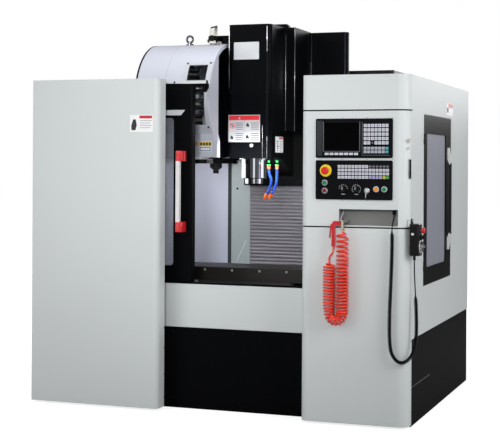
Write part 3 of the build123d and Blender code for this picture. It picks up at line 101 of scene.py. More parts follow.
def linear(code):
    """An sRGB hex colour as the linear RGBA that a shader takes."""
    parts = [int(code[i : i + 2], 16) / 255 for i in (1, 3, 5)]
    return tuple(c / 12.92 if c <= 0.04045 else ((c + 0.055) / 1.055) ** 2.4 for c in parts) + (1.0,)


def add(tree, kind, settings=None, **links):
    """Adds a node, with its settings and with a value or a link for each named input.

    A node given as a link stands for its first output in use, and a list links in turn.
    """
    node = tree.nodes.new(kind)
    for key, value in (settings or {}).items():
        setattr(node, key, value)
    for key, value in links.items():
        if key[0] == "i" and key[1:].isdigit():
            socket = node.inputs[int(key[1:])]
        else:
            socket = next(s for s in node.inputs if s.name == key.replace("_", " ") and s.enabled)
        for source in value if isinstance(value, list) else [value]:
            if isinstance(source, bpy.types.Node):
                source = next(s for s in source.outputs if s.enabled)
            if isinstance(source, bpy.types.NodeSocket):
                tree.links.new(source, socket)
            else:
                socket.default_value = source
    return node


def new_material(name):
    """A material with a Principled shader, and its tree, shader and Object coordinates."""
    material = bpy.data.materials.new(name)
    material.use_nodes = True
    tree = material.node_tree
    place = add(tree, "ShaderNodeTexCoord").outputs["Object"]
    return material, tree, tree.nodes["Principled BSDF"], place


def set_shader(shader, **values):
    for key, value in values.items():
        shader.inputs[key.replace("_", " ")].default_value = value


def drift_colour(tree, shader, pattern, colour, shade):
    """Lets a pattern move the colour between two, given as RGBA or as a node."""
    settings = {"data_type": "RGBA"}
    tone = add(tree, "ShaderNodeMix", settings, Factor=pattern, i6=colour, i7=shade)
    tree.links.new(tone.outputs[2], shader.inputs["Base Color"])


def vary_roughness(tree, shader, pattern, low, high):
    """Lets a pattern move the roughness between two values."""
    spread = add(tree, "ShaderNodeMapRange", Value=pattern, To_Min=low, To_Max=high)
    tree.links.new(spread.outputs["Result"], shader.inputs["Roughness"])


def relief(tree, shader, pattern, strength, distance, edge=0.0):
    """Drives the normal from a pattern, over edges that are rounded by some millimetres."""
    bump = add(tree, "ShaderNodeBump", Height=pattern, Strength=strength, Distance=distance)
    if edge:
        soft = add(tree, "ShaderNodeBevel", {"samples": 4}, Radius=edge * MM)
        tree.links.new(soft.outputs["Normal"], bump.inputs["Normal"])
    tree.links.new(bump.outputs["Normal"], shader.inputs["Normal"])


def powder_coat(name, colour, shade, roughness, grain=5.0, edge=2.0, specular=0.5):
    """Powder coat on folded sheet: faint orange peel, slow drift of tone, rounded edges.

    The peel of the real coat is about 1 mm wide and is drawn at the grain's size, so that it shows.
    """
    material, tree, shader, place = new_material(name)
    drift = add(tree, "ShaderNodeTexNoise", Vector=place, Scale=1.7, Detail=3.0)
    drift_colour(tree, shader, drift, linear(colour), linear(shade))
    peel = add(tree, "ShaderNodeTexNoise", Vector=place, Scale=1000 / grain, Detail=2.0)
    vary_roughness(tree, shader, peel, roughness - 0.04, roughness + 0.06)
    relief(tree, shader, peel, 0.06, 0.0006, edge)
    set_shader(shader, Specular_IOR_Level=specular)
    return material


def moulded(name, colour, roughness, coat=0.0, specular=0.5):
    """Moulded plastic or rubber with a fine spark-eroded grain, drawn at 2 mm."""
    material, tree, shader, place = new_material(name)
    grain = add(tree, "ShaderNodeTexNoise", Vector=place, Scale=480.0, Detail=2.0)
    drift = add(tree, "ShaderNodeTexNoise", Vector=place, Scale=26.0, Detail=2.0)
    shade = add(tree, "ShaderNodeHueSaturation", Value=0.86, Color=linear(colour))
    drift_colour(tree, shader, drift, linear(colour), shade)
    set_shader(shader, Roughness=roughness, Coat_Weight=coat, Coat_Roughness=0.12)
    set_shader(shader, Specular_IOR_Level=specular)
    relief(tree, shader, grain, 0.08, 0.0003, 0.8)
    return material


def metal(name, colour, roughness, grain=(900.0, 900.0, 30.0), strength=0.12):
    """Bare metal: fine tool marks run along the axis with the smallest scale."""
    material, tree, shader, place = new_material(name)
    stretch = add(tree, "ShaderNodeMapping", Vector=place, Scale=grain)
    marks = add(tree, "ShaderNodeTexNoise", Vector=stretch, Scale=1.0, Detail=4.0)
    vary_roughness(tree, shader, marks, max(roughness - 0.08, 0.02), roughness + 0.1)
    set_shader(shader, Base_Color=linear(colour), Metallic=1.0)
    relief(tree, shader, marks, strength, 0.0002, 0.6)
    return material


def cast_paint(name, colour, shade, roughness=0.5, specular=0.4):
    """Enamel on a rough casting: the sand's lumps, about 4 mm, show through the paint."""
    material, tree, shader, place = new_material(name)
    lumps = add(tree, "ShaderNodeTexNoise", Vector=place, Scale=240.0, Detail=5.0)
    drift = add(tree, "ShaderNodeTexNoise", Vector=place, Scale=5.0, Detail=4.0)
    drift_colour(tree, shader, drift, linear(colour), linear(shade))
    set_shader(shader, Roughness=roughness, Specular_IOR_Level=specular)
    relief(tree, shader, lumps, 0.25, 0.001, 3.0)
    return material


def pane(name, colour, alpha, roughness, specular=0.5):
    """Safety glass with a grey tint, seen through in part and reflecting the rest."""
    material, tree, shader, place = new_material(name)
    smear = add(tree, "ShaderNodeTexNoise", Vector=place, Scale=9.0, Detail=5.0)
    vary_roughness(tree, shader, smear, roughness, roughness + 0.12)
    set_shader(shader, Base_Color=linear(colour), Alpha=alpha, IOR=1.5)
    set_shader(shader, Specular_IOR_Level=specular)
    return material


def printed(name, colour, roughness=0.35):
    """Vinyl film: an even colour with the small waves of film laid by hand."""
    material, tree, shader, place = new_material(name)
    wave = add(tree, "ShaderNodeTexNoise", Vector=place, Scale=60.0, Detail=1.0)
    set_shader(shader, Base_Color=linear(colour), Roughness=roughness)
    relief(tree, shader, wave, 0.05, 0.0005)
    return material


def cloth(name, colour, shade):
    """Coated cloth: fine cross weave, drawn at 3 mm, and greasy streaks along the pleats."""
    material, tree, shader, place = new_material(name)
    weave = add(
        tree, "ShaderNodeTexWave", {"bands_direction": "X"}, Vector=place, Scale=110.0, Distortion=1.0
    )
    stretch = add(tree, "ShaderNodeMapping", Vector=place, Scale=(3.0, 3.0, 40.0))
    streak = add(tree, "ShaderNodeTexNoise", Vector=stretch, Scale=2.0, Detail=5.0)
    drift_colour(tree, shader, streak, linear(colour), linear(shade))
    set_shader(shader, Roughness=0.62, Sheen_Weight=0.15)
    relief(tree, shader, weave.outputs["Fac"], 0.15, 0.0006)
    return material


# Powder coat in the cool off-white of the enclosure
COVER_WHITE = powder_coat("enclosure_powder_coat", "#D3D8D9", "#CDD2D3", 0.42)
# Whiter and smoother enamel on the magazine, with a blue cast
MAGAZINE_WHITE = powder_coat("magazine_enamel", "#D2D5E1", "#CACDDA", 0.28, 5.0, 4.0, 0.35)
# Black structured powder coat on the head, column and doors
COVER_BLACK = powder_coat("black_powder_coat", "#07080B", "#050609", 0.34, 3.0, 3.5, 0.04)
# Charcoal coat of the rear cabinet
CABINET_COAT = powder_coat("cabinet_coat", "#17191C", "#121417", 0.4, 3.0, 3.0, 0.3)
# Darker, flatter black of the skirt, also painted shade in the chip pan
BLACK_SKIRT_AND_SHADE = powder_coat("skirt_coat_and_painted_shade", "#08090B", "#060709", 0.45, 3.0, 2.0, 0.03)
# Blue-black painted shade on the magazine's inside, its notch wall and the faces in its gap by the head
MAGAZINE_SHADE = powder_coat("magazine_painted_shade", "#0E121B", "#0B0E16", 0.42, 3.0, 3.0, 0.15)
# Polished panel of the work room, with a lavender cast
ROOM_PANEL = powder_coat("room_panel_enamel", "#C3C5D6", "#B9BBCD", 0.3)
# Grey-green enamel of the splash walls
ROOM_WALL = powder_coat("splash_wall_enamel", "#A9B2B4", "#9FA8AB", 0.36)
# Dark rubber in the joint of the splash walls
ROOM_DARK = powder_coat("splash_seam_rubber", "#31383A", "#2A3032", 0.6, edge=1.0)
# Flat grey of the recess below the control units: painted shade, for the shade that falls in it
RECESS_SHADE = powder_coat("recess_painted_shade", "#8B8C89", "#838481", 0.5)
# Smooth white frame of the magazine's window, also a painted highlight along the wall's fold
WINDOW_FRAME_AND_FOLD_HIGHLIGHT = powder_coat("frame_enamel_and_fold_highlight", "#CFD2DA", "#C6CAD3", 0.3, edge=1.5)

# Enamel on castings, and the oiled cover of the table's front
CASTING_GREY = cast_paint("machine_enamel", "#8E9499", "#7F858A")
CASTING_BLACK = cast_paint("black_enamel", "#0B0C0E", "#070809", 0.42, 0.12)
TABLE_FRONT = cast_paint("oiled_way_cover", "#2A2624", "#1E1B1A", 0.4)

# Bare metals: ground, chromed, blackened, plated and nickelled
TABLE_IRON = metal("oiled_ground_iron", "#4A4340", 0.42, grain=(20.0, 900.0, 900.0))
GROUND_STEEL = metal("ground_steel", "#B9BBBD", 0.22)
HARD_CHROME = metal("hard_chrome", "#D8D9DB", 0.06, strength=0.03)
SPINDLE_CHROME = metal("spindle_chrome", "#85868B", 0.05, strength=0.03)
EYE_CHROME = metal("dark_chrome", "#5C5D62", 0.12)
# Painted highlight: bright strips on the head's folded black edges
BRIGHT_EDGE_HIGHLIGHT = metal("painted_bright_highlight", "#E4E6EA", 0.2)
DARK_STEEL = metal("blackened_steel", "#2E2F31", 0.38)
ZINC = metal("zinc_plated_steel", "#C4C6C8", 0.25)
BRASS = metal("nickelled_brass", "#C6BDA6", 0.25)

# Dark plastics and rubber, nearly without a sheen
SEAM_BLACK = moulded("seam_rubber", "#050606", 0.7, specular=0.1)
KNOB_BLACK = moulded("knob_plastic", "#0A0A0C", 0.35, coat=0.05, specular=0.2)
UNIT_FRAME = moulded("control_frame", "#22262C", 0.42, specular=0.2)
UNIT_DARK = moulded("control_foil", "#0D0E12", 0.38, specular=0.06)
CORD_BLACK = moulded("cord_jacket", "#070708", 0.42, specular=0.12)

# Lines, joints and heads that are only a tone apart from their ground, and painted highlights on edges
FITTING_CREAM = moulded("fitting_cream", "#E6E3D8", 0.35)
FRAME_LINE = moulded("frame_line", "#565B60", 0.4)
JOINT_GREY = moulded("joint_grey", "#B9BDC9", 0.5)
SCREW_GREY = moulded("screw_head", "#C9CCC8", 0.3)
# Grey: painted highlight on a fold of the head's cover, and the joints of the skirt and of the cabinet's
# doors
GREY_HIGHLIGHT_AND_JOINT = moulded("grey_painted_highlight_and_joint", "#6E7174", 0.35)
# Dim blue: painted highlight on the folded edges of the head and of the column's shield
DIM_BLUE_EDGE_HIGHLIGHT = moulded("painted_blue_highlight", "#2A3140", 0.35)

# Moulded key caps and their marks
KEY_WHITE = moulded("key_white", "#D9DBE6", 0.4)
KEY_GREY = moulded("key_grey", "#B9BCC8", 0.4)
KEY_DARK = moulded("key_dark", "#3B3545", 0.4)
KEY_LILAC = moulded("key_lilac", "#B4AFD8", 0.4)
KEY_YELLOW = moulded("key_yellow", "#E3D23A", 0.4)
KEY_GREEN = moulded("key_green", "#2F9A3E", 0.4)
KEY_TEAL = moulded("key_teal", "#3FA9B5", 0.4)
KEY_MARK = moulded("key_mark", "#9A9AA8", 0.5)

# Glossy buttons, lenses, grips and hoses
STOP_RED = moulded("stop_red", "#D8221F", 0.25, coat=0.6)
STOP_YELLOW = moulded("stop_ring_yellow", "#F2D21C", 0.35, coat=0.2)
LENS_GREEN = moulded("lens_green", "#0F8A4C", 0.18, coat=0.8)
LENS_RED = moulded("lens_red", "#8E1220", 0.18, coat=0.8)
LENS_ORANGE = moulded("lens_orange", "#F09A2E", 0.18, coat=0.8)
HANDLE_RED = moulded("handle_red", "#D8232A", 0.28, coat=0.4)
HANDLE_WHITE = moulded("handle_white", "#E9E7E8", 0.3, coat=0.3)
HOSE_RED = moulded("polyurethane_hose", "#F2381F", 0.22, coat=0.5)
GUN_RED = moulded("gun_red", "#D3202C", 0.28, coat=0.4)
NOZZLE_BLUE = moulded("nozzle_blue", "#2450C0", 0.3, coat=0.3)
NOZZLE_ORANGE = moulded("nozzle_orange", "#F26A1E", 0.3, coat=0.2)
NOZZLE_GREEN = moulded("nozzle_green", "#1FA04A", 0.3, coat=0.2)

# Plain film of the labels and plates
LABEL_WHITE = printed("label_white", "#EEEFEF")
HEAD_LABEL = printed("head_label", "#A9AAAD")
HEAD_PRINT = printed("head_print", "#5A5C60")
LABEL_RED = printed("label_red", "#C4202B")
LABEL_BLACK = printed("label_black", "#16171A")
LABEL_GREY = printed("label_grey", "#B6B9BE")
LABEL_YELLOW = printed("label_yellow", "#E0C24A")
LABEL_BLUE = printed("label_blue", "#6E86B4")
LABEL_ORANGE = printed("label_orange", "#E58B3A")
STRIPE_GREY = printed("stripe_grey", "#C9CDD2")
NAME_PLATE = printed("plate_grey", "#D3D6DA", 0.3)

# Panes: tinted over the front door, opaque in the side door, black over the screen
DOOR_PANE = pane("door_pane", "#7C8088", 0.3, 0.04, 0.3)
SIDE_PANE = pane("side_pane", "#8E909C", 1.0, 0.3, 0.3)
LCD_GLASS = pane("lcd_glass", "#020203", 1.0, 0.08, 0.08)

BELLOWS = cloth("bellows_cloth", "#9A979F", "#6C6A71")


# Mesh work: forms are drawn in the machine's millimetres and set in the frame at the end

TO_FRAME = Matrix.Translation(ZERO) @ Matrix.Scale(MM, 4)
SHARP = math.radians(32)


def slab(shape, low, high, rounding=0.0, finish=0, steps=2):
    """A block between two corners, its edges rounded."""
    low, high = Vector(low), Vector(high)
    made = bmesh.ops.create_cube(shape, size=1.0)["verts"]
    bmesh.ops.scale(shape, vec=high - low, verts=made)
    bmesh.ops.translate(shape, vec=(low + high) / 2, verts=made)
    faces = {face for vert in made for face in vert.link_faces}
    if rounding:
        edges = list({edge for vert in made for edge in vert.link_edges})
        bevel = bmesh.ops.bevel(
            shape, geom=edges, offset=rounding, segments=steps, profile=0.5, affect="EDGES"
        )
        faces = set(bevel["faces"]) | {face for face in faces if face.is_valid}
    for face in faces:
        face.material_index = finish


def turned(shape, profile, centre, axis=(0, 0, 1), steps=32, finish=0):
    """A turned form: pairs of radius and height along an axis that starts at a centre."""
    turn = Vector(axis).to_track_quat("Z", "Y").to_matrix()
    centre = Vector(centre)
    rings = []
    for radius, height in profile:
        ring = []
        for n in range(steps if radius > 1e-6 else 1):
            angle = math.tau * n / steps
            spoke = Vector((radius * math.cos(angle), radius * math.sin(angle), height))
            ring.append(shape.verts.new(centre + turn @ spoke))
        rings.append(ring)
    for low, high in zip(rings, rings[1:]):
        for n in range(steps):
            m = (n + 1) % steps
            corners = (low[n % len(low)], low[m % len(low)], high[m % len(high)], high[n % len(high)])
            corners = list(dict.fromkeys(corners))
            if len(corners) > 2:
                shape.faces.new(corners).material_index = finish
    for ring in (rings[0], rings[-1]):
        if len(ring) > 1:
            shape.faces.new(ring).material_index = finish


def prism(shape, outline, place, depth, finish=0, rounding=0.0, lift=0.0):
    """A flat outline given a thickness; place turns its U, V and height into a point."""
    base = [shape.verts.new(place(u, v, lift)) for u, v in outline]
    top = [shape.verts.new(place(u, v, lift + depth)) for u, v in outline]
    faces = [shape.faces.new(base), shape.faces.new(top)]
    for n in range(len(base)):
        m = (n + 1) % len(base)
        faces.append(shape.faces.new((base[n], base[m], top[m], top[n])))
    for face in faces:
        face.material_index = finish
    if rounding:
        rim = list(faces[1].edges)
        bevel = bmesh.ops.bevel(shape, geom=rim, offset=rounding, segments=2, profile=0.5, affect="EDGES")
        for face in bevel["faces"]:
            face.material_index = finish


def on_front(y):
    """Places on a face that looks to the front: U to the right, V up, height outwards."""
    return lambda u, v, height: Vector((u, y - height, v))


def on_right(x):
    """Places on a face that looks to the right: U to the back, V up."""
    return lambda u, v, height: Vector((x + height, u, v))


def on_back(y):
    """Places on a face that looks to the back: U to the right as seen from the front, V up."""
    return lambda u, v, height: Vector((u, y + height, v))


def rounded(u0, u1, v0, v1, radius, steps):
    """A rectangle's outline with round corners."""
    points = []
    for u, v, quarter in ((u1, v1, 0), (u0, v1, 1), (u0, v0, 2), (u1, v0, 3)):
        middle_u = u - radius if quarter in (0, 3) else u + radius
        middle_v = v - radius if quarter in (0, 1) else v + radius
        for n in range(steps + 1):
            angle = (quarter + n / steps) * math.pi / 2
            points.append((middle_u + radius * math.cos(angle), middle_v + radius * math.sin(angle)))
    return points


def field(shape, place, u0, u1, v0, v1, height, finish, thick=0.4):
    """A flat printed field, set on a face at a height of some tenths of a millimetre."""
    prism(shape, [(u0, v0), (u1, v0), (u1, v1), (u0, v1)], place, thick, finish, lift=height)


def spot(shape, place, u, v, radius, height, finish, thick=0.4, sides=24):
    """A round printed field."""
    angles = [math.tau * n / sides for n in range(sides)]
    ring = [(u + radius * math.cos(a), v + radius * math.sin(a)) for a in angles]
    prism(shape, ring, place, thick, finish, lift=height)


def new_object(name, data):
    """Makes an object of its data and adds it to the scene."""
    made = bpy.data.objects.new(name, data)
    bpy.context.scene.collection.objects.link(made)
    return made


def dress(name, data, body, slot, *materials):
    """Makes a piece of finished data, with its materials and, where it has one, body; the slot is not used.
    """
    piece = new_object(name, data)
    for material in materials:
        data.materials.append(material)
    if body:
        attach(piece, body)
    return piece


def show(shape, name, body, slot, *materials):
    """Makes a finished piece of a form: outward faces, smooth curves, its materials and body."""
    bmesh.ops.recalc_face_normals(shape, faces=shape.faces)
    for face in shape.faces:
        face.smooth = True
    for edge in shape.edges:
        if len(edge.link_faces) == 2 and edge.calc_face_angle(0) > SHARP:
            edge.smooth = False
    mesh = bpy.data.meshes.new(name)
    shape.to_mesh(mesh)
    shape.free()
    mesh.transform(TO_FRAME)
    return dress(name, mesh, body, slot, *materials)


# Geometry Nodes: what repeats

# The setting of a Math node that multiplies
TIMES = {"operation": "MULTIPLY"}


def new_tree(name, **sizes):
    """A tree with geometry in and out and a named input for each size or material."""
    tree = bpy.data.node_groups.new(name, "GeometryNodeTree")
    tree.interface.new_socket("Geometry", in_out="INPUT", socket_type="NodeSocketGeometry")
    tree.interface.new_socket("Geometry", in_out="OUTPUT", socket_type="NodeSocketGeometry")
    kinds = {float: "NodeSocketFloat", int: "NodeSocketInt", tuple: "NodeSocketVector"}
    for key, value in sizes.items():
        kind = kinds.get(type(value), "NodeSocketMaterial")
        socket = tree.interface.new_socket(key, in_out="INPUT", socket_type=kind)
        if value is not None:
            socket.default_value = value
    return tree, tree.nodes.new("NodeGroupInput").outputs


def end_tree(tree, copies, material=None):
    """Closes a tree with real faces in place of instances, all of one material where it is given."""
    if material:
        copies = add(tree, "GeometryNodeSetMaterial", Geometry=copies, Material=material)
    real = add(tree, "GeometryNodeRealizeInstances", Geometry=copies)
    end = tree.nodes.new("NodeGroupOutput")
    tree.links.new(real.outputs["Geometry"], end.inputs["Geometry"])
    return tree


def end_copies(tree, start, form, material=None, **links):
    """Closes a tree with turned copies of a form on the points that come in."""
    links.update({"Points": start["Geometry"], "Instance": form, "Rotation": start["Turn"]})
    return end_tree(tree, add(tree, "GeometryNodeInstanceOnPoints", **links), material)


def plain_mesh(piece):
    """The mesh that an object gives once its modifiers or its curve are worked out."""
    depsgraph = bpy.context.evaluated_depsgraph_get()
    return bpy.data.meshes.new_from_object(piece.evaluated_get(depsgraph), depsgraph=depsgraph)


def grow(name, tree, points, body, slot, edges=(), **settings):
    """A plain mesh that a tree grows from points in machine millimetres, made a piece."""
    seed = bpy.data.meshes.new("seed")
    seed.from_pydata([TO_FRAME @ Vector(p) for p in points], list(edges), [])
    stem = new_object("stem", seed)
    modifier = stem.modifiers.new("grow", "NODES")
    modifier.node_group = tree
    for socket in tree.interface.items_tree:
        if socket.in_out == "INPUT" and socket.name in settings:
            modifier[socket.identifier] = settings[socket.name]
    mesh = plain_mesh(stem)
    bpy.data.objects.remove(stem)
    bpy.data.meshes.remove(seed)
    mesh.name = name
    return dress(name, mesh, body, slot)


def screw_tree():
    """Button-head screws: a domed head with a dark hexagon socket."""
    tree, start = new_tree("screws", Radius=0.004, Turn=(0.0, 0.0, 0.0), Steel=None, Socket=None)
    shares = {"rise": 0.5, "flat": 0.7, "hole": 0.42, "deep": 0.52}
    size = {
        key: add(tree, "ShaderNodeMath", TIMES, i0=start["Radius"], i1=share)
        for key, share in shares.items()
    }
    head = add(
        tree,
        "GeometryNodeMeshCone",
        Vertices=14,
        Radius_Top=size["flat"],
        Radius_Bottom=start["Radius"],
        Depth=size["rise"],
    )
    bore = add(
        tree,
        "GeometryNodeMeshCone",
        Vertices=6,
        Radius_Top=size["hole"],
        Radius_Bottom=size["hole"],
        Depth=size["deep"],
    )
    steel = add(tree, "GeometryNodeSetMaterial", Geometry=head, Material=start["Steel"])
    dark = add(tree, "GeometryNodeSetMaterial", Geometry=bore, Material=start["Socket"])
    both = add(tree, "GeometryNodeJoinGeometry", Geometry=[steel, dark])
    return end_copies(tree, start, both)


def key_tree():
    """Keys of a keypad: low four-sided caps that narrow towards their tops."""
    tree, start = new_tree("keys", Size=(0.01, 0.008, 0.002), Turn=(0.0, 0.0, 0.0), Cap=None)
    foot = math.sqrt(0.5)
    cap = add(
        tree, "GeometryNodeMeshCone", Vertices=4, Radius_Top=foot * 0.86, Radius_Bottom=foot, Depth=1.0
    )
    square = add(tree, "GeometryNodeTransform", Geometry=cap, Rotation=(0.0, 0.0, math.pi / 4))
    return end_copies(tree, start, square, start["Cap"], Scale=start["Size"])


def tick_tree():
    """Ticks on an arc round a knob's centre."""
    tree, start = new_tree(
        "ticks",
        Count=9,
        Radius=0.02,
        From=-0.7,
        Sweep=4.6,
        Size=(0.0015, 0.005, 0.0006),
        Turn=(0.0, 0.0, 0.0),
        Print=None,
    )
    arc = add(
        tree,
        "GeometryNodeCurveArc",
        Resolution=start["Count"],
        Radius=start["Radius"],
        Start_Angle=start["From"],
        Sweep_Angle=start["Sweep"],
    )
    here = add(tree, "GeometryNodeInputPosition")
    outward = add(tree, "FunctionNodeAlignRotationToVector", {"axis": "Y"}, Vector=here)
    places = add(tree, "GeometryNodeCurveToPoints", {"mode": "EVALUATED"}, Curve=arc)
    bar = add(tree, "GeometryNodeMeshCube", Size=start["Size"])
    bar = add(tree, "GeometryNodeSetMaterial", Geometry=bar, Material=start["Print"])
    ring = add(tree, "GeometryNodeInstanceOnPoints", Points=places, Instance=bar, Rotation=outward)
    return end_copies(tree, start, ring)


def segment_tree():
    """Ball-and-socket segments threaded on a line, each a cup with a ball in its neck."""
    tree, start = new_tree("hose_segments", Pitch=0.012, Radius=0.0085, Plastic=None)
    line = add(tree, "GeometryNodeMeshToCurve", Mesh=start["Geometry"])
    places = add(tree, "GeometryNodeCurveToPoints", {"mode": "LENGTH"}, Curve=line, Length=start["Pitch"])
    neck = add(tree, "ShaderNodeMath", TIMES, i0=start["Radius"], i1=0.68)
    long = add(tree, "ShaderNodeMath", TIMES, i0=start["Pitch"], i1=0.8)
    cup = add(
        tree,
        "GeometryNodeMeshCone",
        Vertices=16,
        Radius_Top=neck,
        Radius_Bottom=start["Radius"],
        Depth=long,
    )
    ball = add(tree, "GeometryNodeMeshUVSphere", Segments=16, Rings=8, Radius=neck)
    copies = add(
        tree,
        "GeometryNodeInstanceOnPoints",
        Points=places,
        Instance=add(tree, "GeometryNodeJoinGeometry", Geometry=[cup, ball]),
        Rotation=places.outputs["Rotation"],
    )
    return end_tree(tree, copies, start["Plastic"])


def pleat_tree():
    """A block whose front is folded in pleats with slack, round troughs."""
    tree, start = new_tree(
        "pleats",
        Size=(0.36, 0.02, 0.52),
        Centre=(0.0, 0.0, 0.0),
        Step=0.016,
        Depth=0.01,
        Rows=129,
        Cloth=None,
    )
    body = add(tree, "GeometryNodeMeshCube", Size=start["Size"], Vertices_Z=start["Rows"])
    here = add(tree, "ShaderNodeSeparateXYZ", Vector=add(tree, "GeometryNodeInputPosition"))
    tall = add(tree, "ShaderNodeSeparateXYZ", Vector=start["Size"]).outputs["Z"]
    half = add(tree, "ShaderNodeMath", TIMES, i0=tall, i1=0.5)
    up = add(tree, "ShaderNodeMath", {"operation": "ADD"}, i0=here.outputs["Z"], i1=half)
    fold = add(tree, "ShaderNodeMath", {"operation": "PINGPONG"}, i0=up, i1=start["Step"])
    share = add(tree, "ShaderNodeMath", {"operation": "DIVIDE"}, i0=fold, i1=start["Step"])
    slack = add(tree, "ShaderNodeMath", {"operation": "POWER"}, i0=share, i1=0.75)
    out = add(tree, "ShaderNodeMath", TIMES, i0=slack, i1=start["Depth"])
    back = add(tree, "ShaderNodeMath", TIMES, i0=out, i1=-1.0)
    front = add(tree, "ShaderNodeMath", {"operation": "LESS_THAN"}, i0=here.outputs["Y"], i1=0.0)
    folded = add(
        tree,
        "GeometryNodeSetPosition",
        Geometry=body,
        Selection=front,
        Offset=add(tree, "ShaderNodeCombineXYZ", Y=back),
    )
    placed = add(tree, "GeometryNodeTransform", Geometry=folded, Translation=start["Centre"])
    return end_tree(tree, placed, start["Cloth"])


SCREWS = screw_tree()
KEYS = key_tree()
TICKS = tick_tree()
SEGMENTS = segment_tree()
PLEATS = pleat_tree()
TO_VIEWER = (math.pi / 2, 0.0, 0.0)
TO_RIGHT = (0.0, math.pi / 2, 0.0)


def screws(name, points, radius, turn, body, slot, steel=ZINC):
    """Button-head screws at points on a face, their heads half sunk in it."""
    sizes = {"Radius": radius * MM, "Turn": turn}
    return grow(name, SCREWS, points, body, slot, Steel=steel, Socket=SEAM_BLACK, **sizes)


# Camera: where the photographer stood, with its aim level and its frame shifted down

FRAME_WIDTH = 500
FRAME_MIDDLE = 218
FOCAL_PIXELS = 1286.49
HORIZON_ROW = 164.386
camera_data = bpy.data.cameras.new("camera")
camera_data.sensor_width = 36
camera_data.lens = FOCAL_PIXELS / FRAME_WIDTH * camera_data.sensor_width
camera_data.shift_y = (HORIZON_ROW - FRAME_MIDDLE) / FRAME_WIDTH
camera_data.clip_end = 100
camera = new_object("camera", camera_data)
camera.location = at(2604.18, -6540.52, 1374.14)
camera.rotation_euler = Euler((math.radians(90), 0, math.radians(19.949)), "XYZ")
camera.rotation_euler.rotate_axis("Z", math.radians(0.3275))
bpy.context.scene.camera = camera


# Cords


def spline(name, points, radius, sides=3, steps=4):
    """A round cord on one smooth line; the points are its control points, in millimetres."""
    data = bpy.data.curves.new(name, "CURVE")
    data.dimensions = "3D"
    line = data.splines.new("NURBS")
    line.points.add(len(points) - 1)
    for point, place in zip(line.points, points):
        point.co = (*(TO_FRAME @ Vector(place)), 1)
    line.order_u = 3
    line.use_endpoint_u = True
    line.resolution_u = steps
    data.bevel_depth = radius * MM
    data.bevel_resolution = sides
    data.use_fill_caps = True
    return data


def spline_mesh(points, radius, sides, steps):
    """The plain mesh of a round cord or, without a radius, of its smooth line."""
    data = spline("route", points, radius, sides, steps)
    route = new_object("route", data)
    mesh = plain_mesh(route)
    bpy.data.objects.remove(route)
    bpy.data.curves.remove(data)
    return mesh


def line_of(points, steps=12):
    """The points of a route's smooth line, in machine millimetres."""
    mesh = spline_mesh(points, 0, 3, steps)
    back = TO_FRAME.inverted()
    found = [back @ vert.co for vert in mesh.vertices]
    bpy.data.meshes.remove(mesh)
    return found


def length_of(points):
    return sum((b - a).length for a, b in zip(points, points[1:]))


def walk(points, step):
    """Places along a line at an even step, each with the direction there."""
    places, left = [], 0.0
    for a, b in zip(points, points[1:]):
        run = b - a
        while left <= run.length:
            places.append((a + run.normalized() * left, run.normalized()))
            left += step
        left -= run.length
    return places


def helix(route, radius, pitch, per_turn):
    """Control points that wind round a route; radius and pitch are functions of the way along."""
    step = 1.0
    whole = length_of(route)
    side = Vector((0, 1, 0)).cross(route[1] - route[0]).normalized()
    angle, points, due = 0.0, [], 0.0
    for n, (place, ahead) in enumerate(walk(route, step)):
        way = n * step
        side = (side - ahead * side.dot(ahead)).normalized()
        if angle >= due:
            wide = radius(way, whole)
            across = side * wide * math.cos(angle)
            points.append(place + across + ahead.cross(side) * wide * math.sin(angle))
            due += math.tau / per_turn
        angle += math.tau * step / pitch(way, whole)
    return points


def ramp(value):
    """Goes smoothly from 0 to 1 while the value does."""
    value = min(max(value, 0.0), 1.0)
    return value * value * (3 - 2 * value)


# Control points of a quadratic spline stand outside its circle by this share
WIND_OUT = 1 / ((1 + math.cos(math.tau / 16)) / 2)


def add_cord(name, points, radius, sides, slot, material, lay, *replaced):
    """Makes and places one cord, which leaves the machine at its first point."""
    steps = 3
    cord = dress(name, spline(name, points, radius, sides, steps), "machine", slot, material)
    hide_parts(*replaced)
    length = length_of(line_of(points, steps)) * MM


def add_hose():
    """The air hose: from the elbow down, round and up in one hanging loop, then to the gun."""
    hose_radius, y, down_x, up_x = 5, -40, 762, 690
    wind_radius = (33 - hose_radius) * WIND_OUT
    down = [(down_x, z) for z in (1030, 1000, 780, 606)]
    bend = [(759, 574), (740, 557), (712, 557), (693, 574)]
    up = [(up_x, z) for z in (606, 730, 864)]
    route = [(x, y, z) for x, z in down + bend + up]
    tail = [(up_x, y, 890), (709, -24, 914), (709, -24, 940)]
    bend_start, bend_end = 408, 545

    def radius(way, whole):
        waist = 1 - 0.2 * ramp((way - 422) / 40) * ramp((592 - way) / 40)
        return wind_radius * waist * ramp(way / 26) * ramp((whole - way) / 24)

    def pitch(way, whole):
        if way < bend_start:
            return 29 - 12 * ramp(way / 260)
        return 13.5 if way < bend_end else 15.5

    points = [route[0], (down_x, y, 1018)] + helix(line_of(route), radius, pitch, 16)[8:-6]
    points += [route[-1]] + tail
    add_cord("air_hose", points, hose_radius, 3, "hose_red", HOSE_RED, "coiled", "hose_tail", "hose_coil")


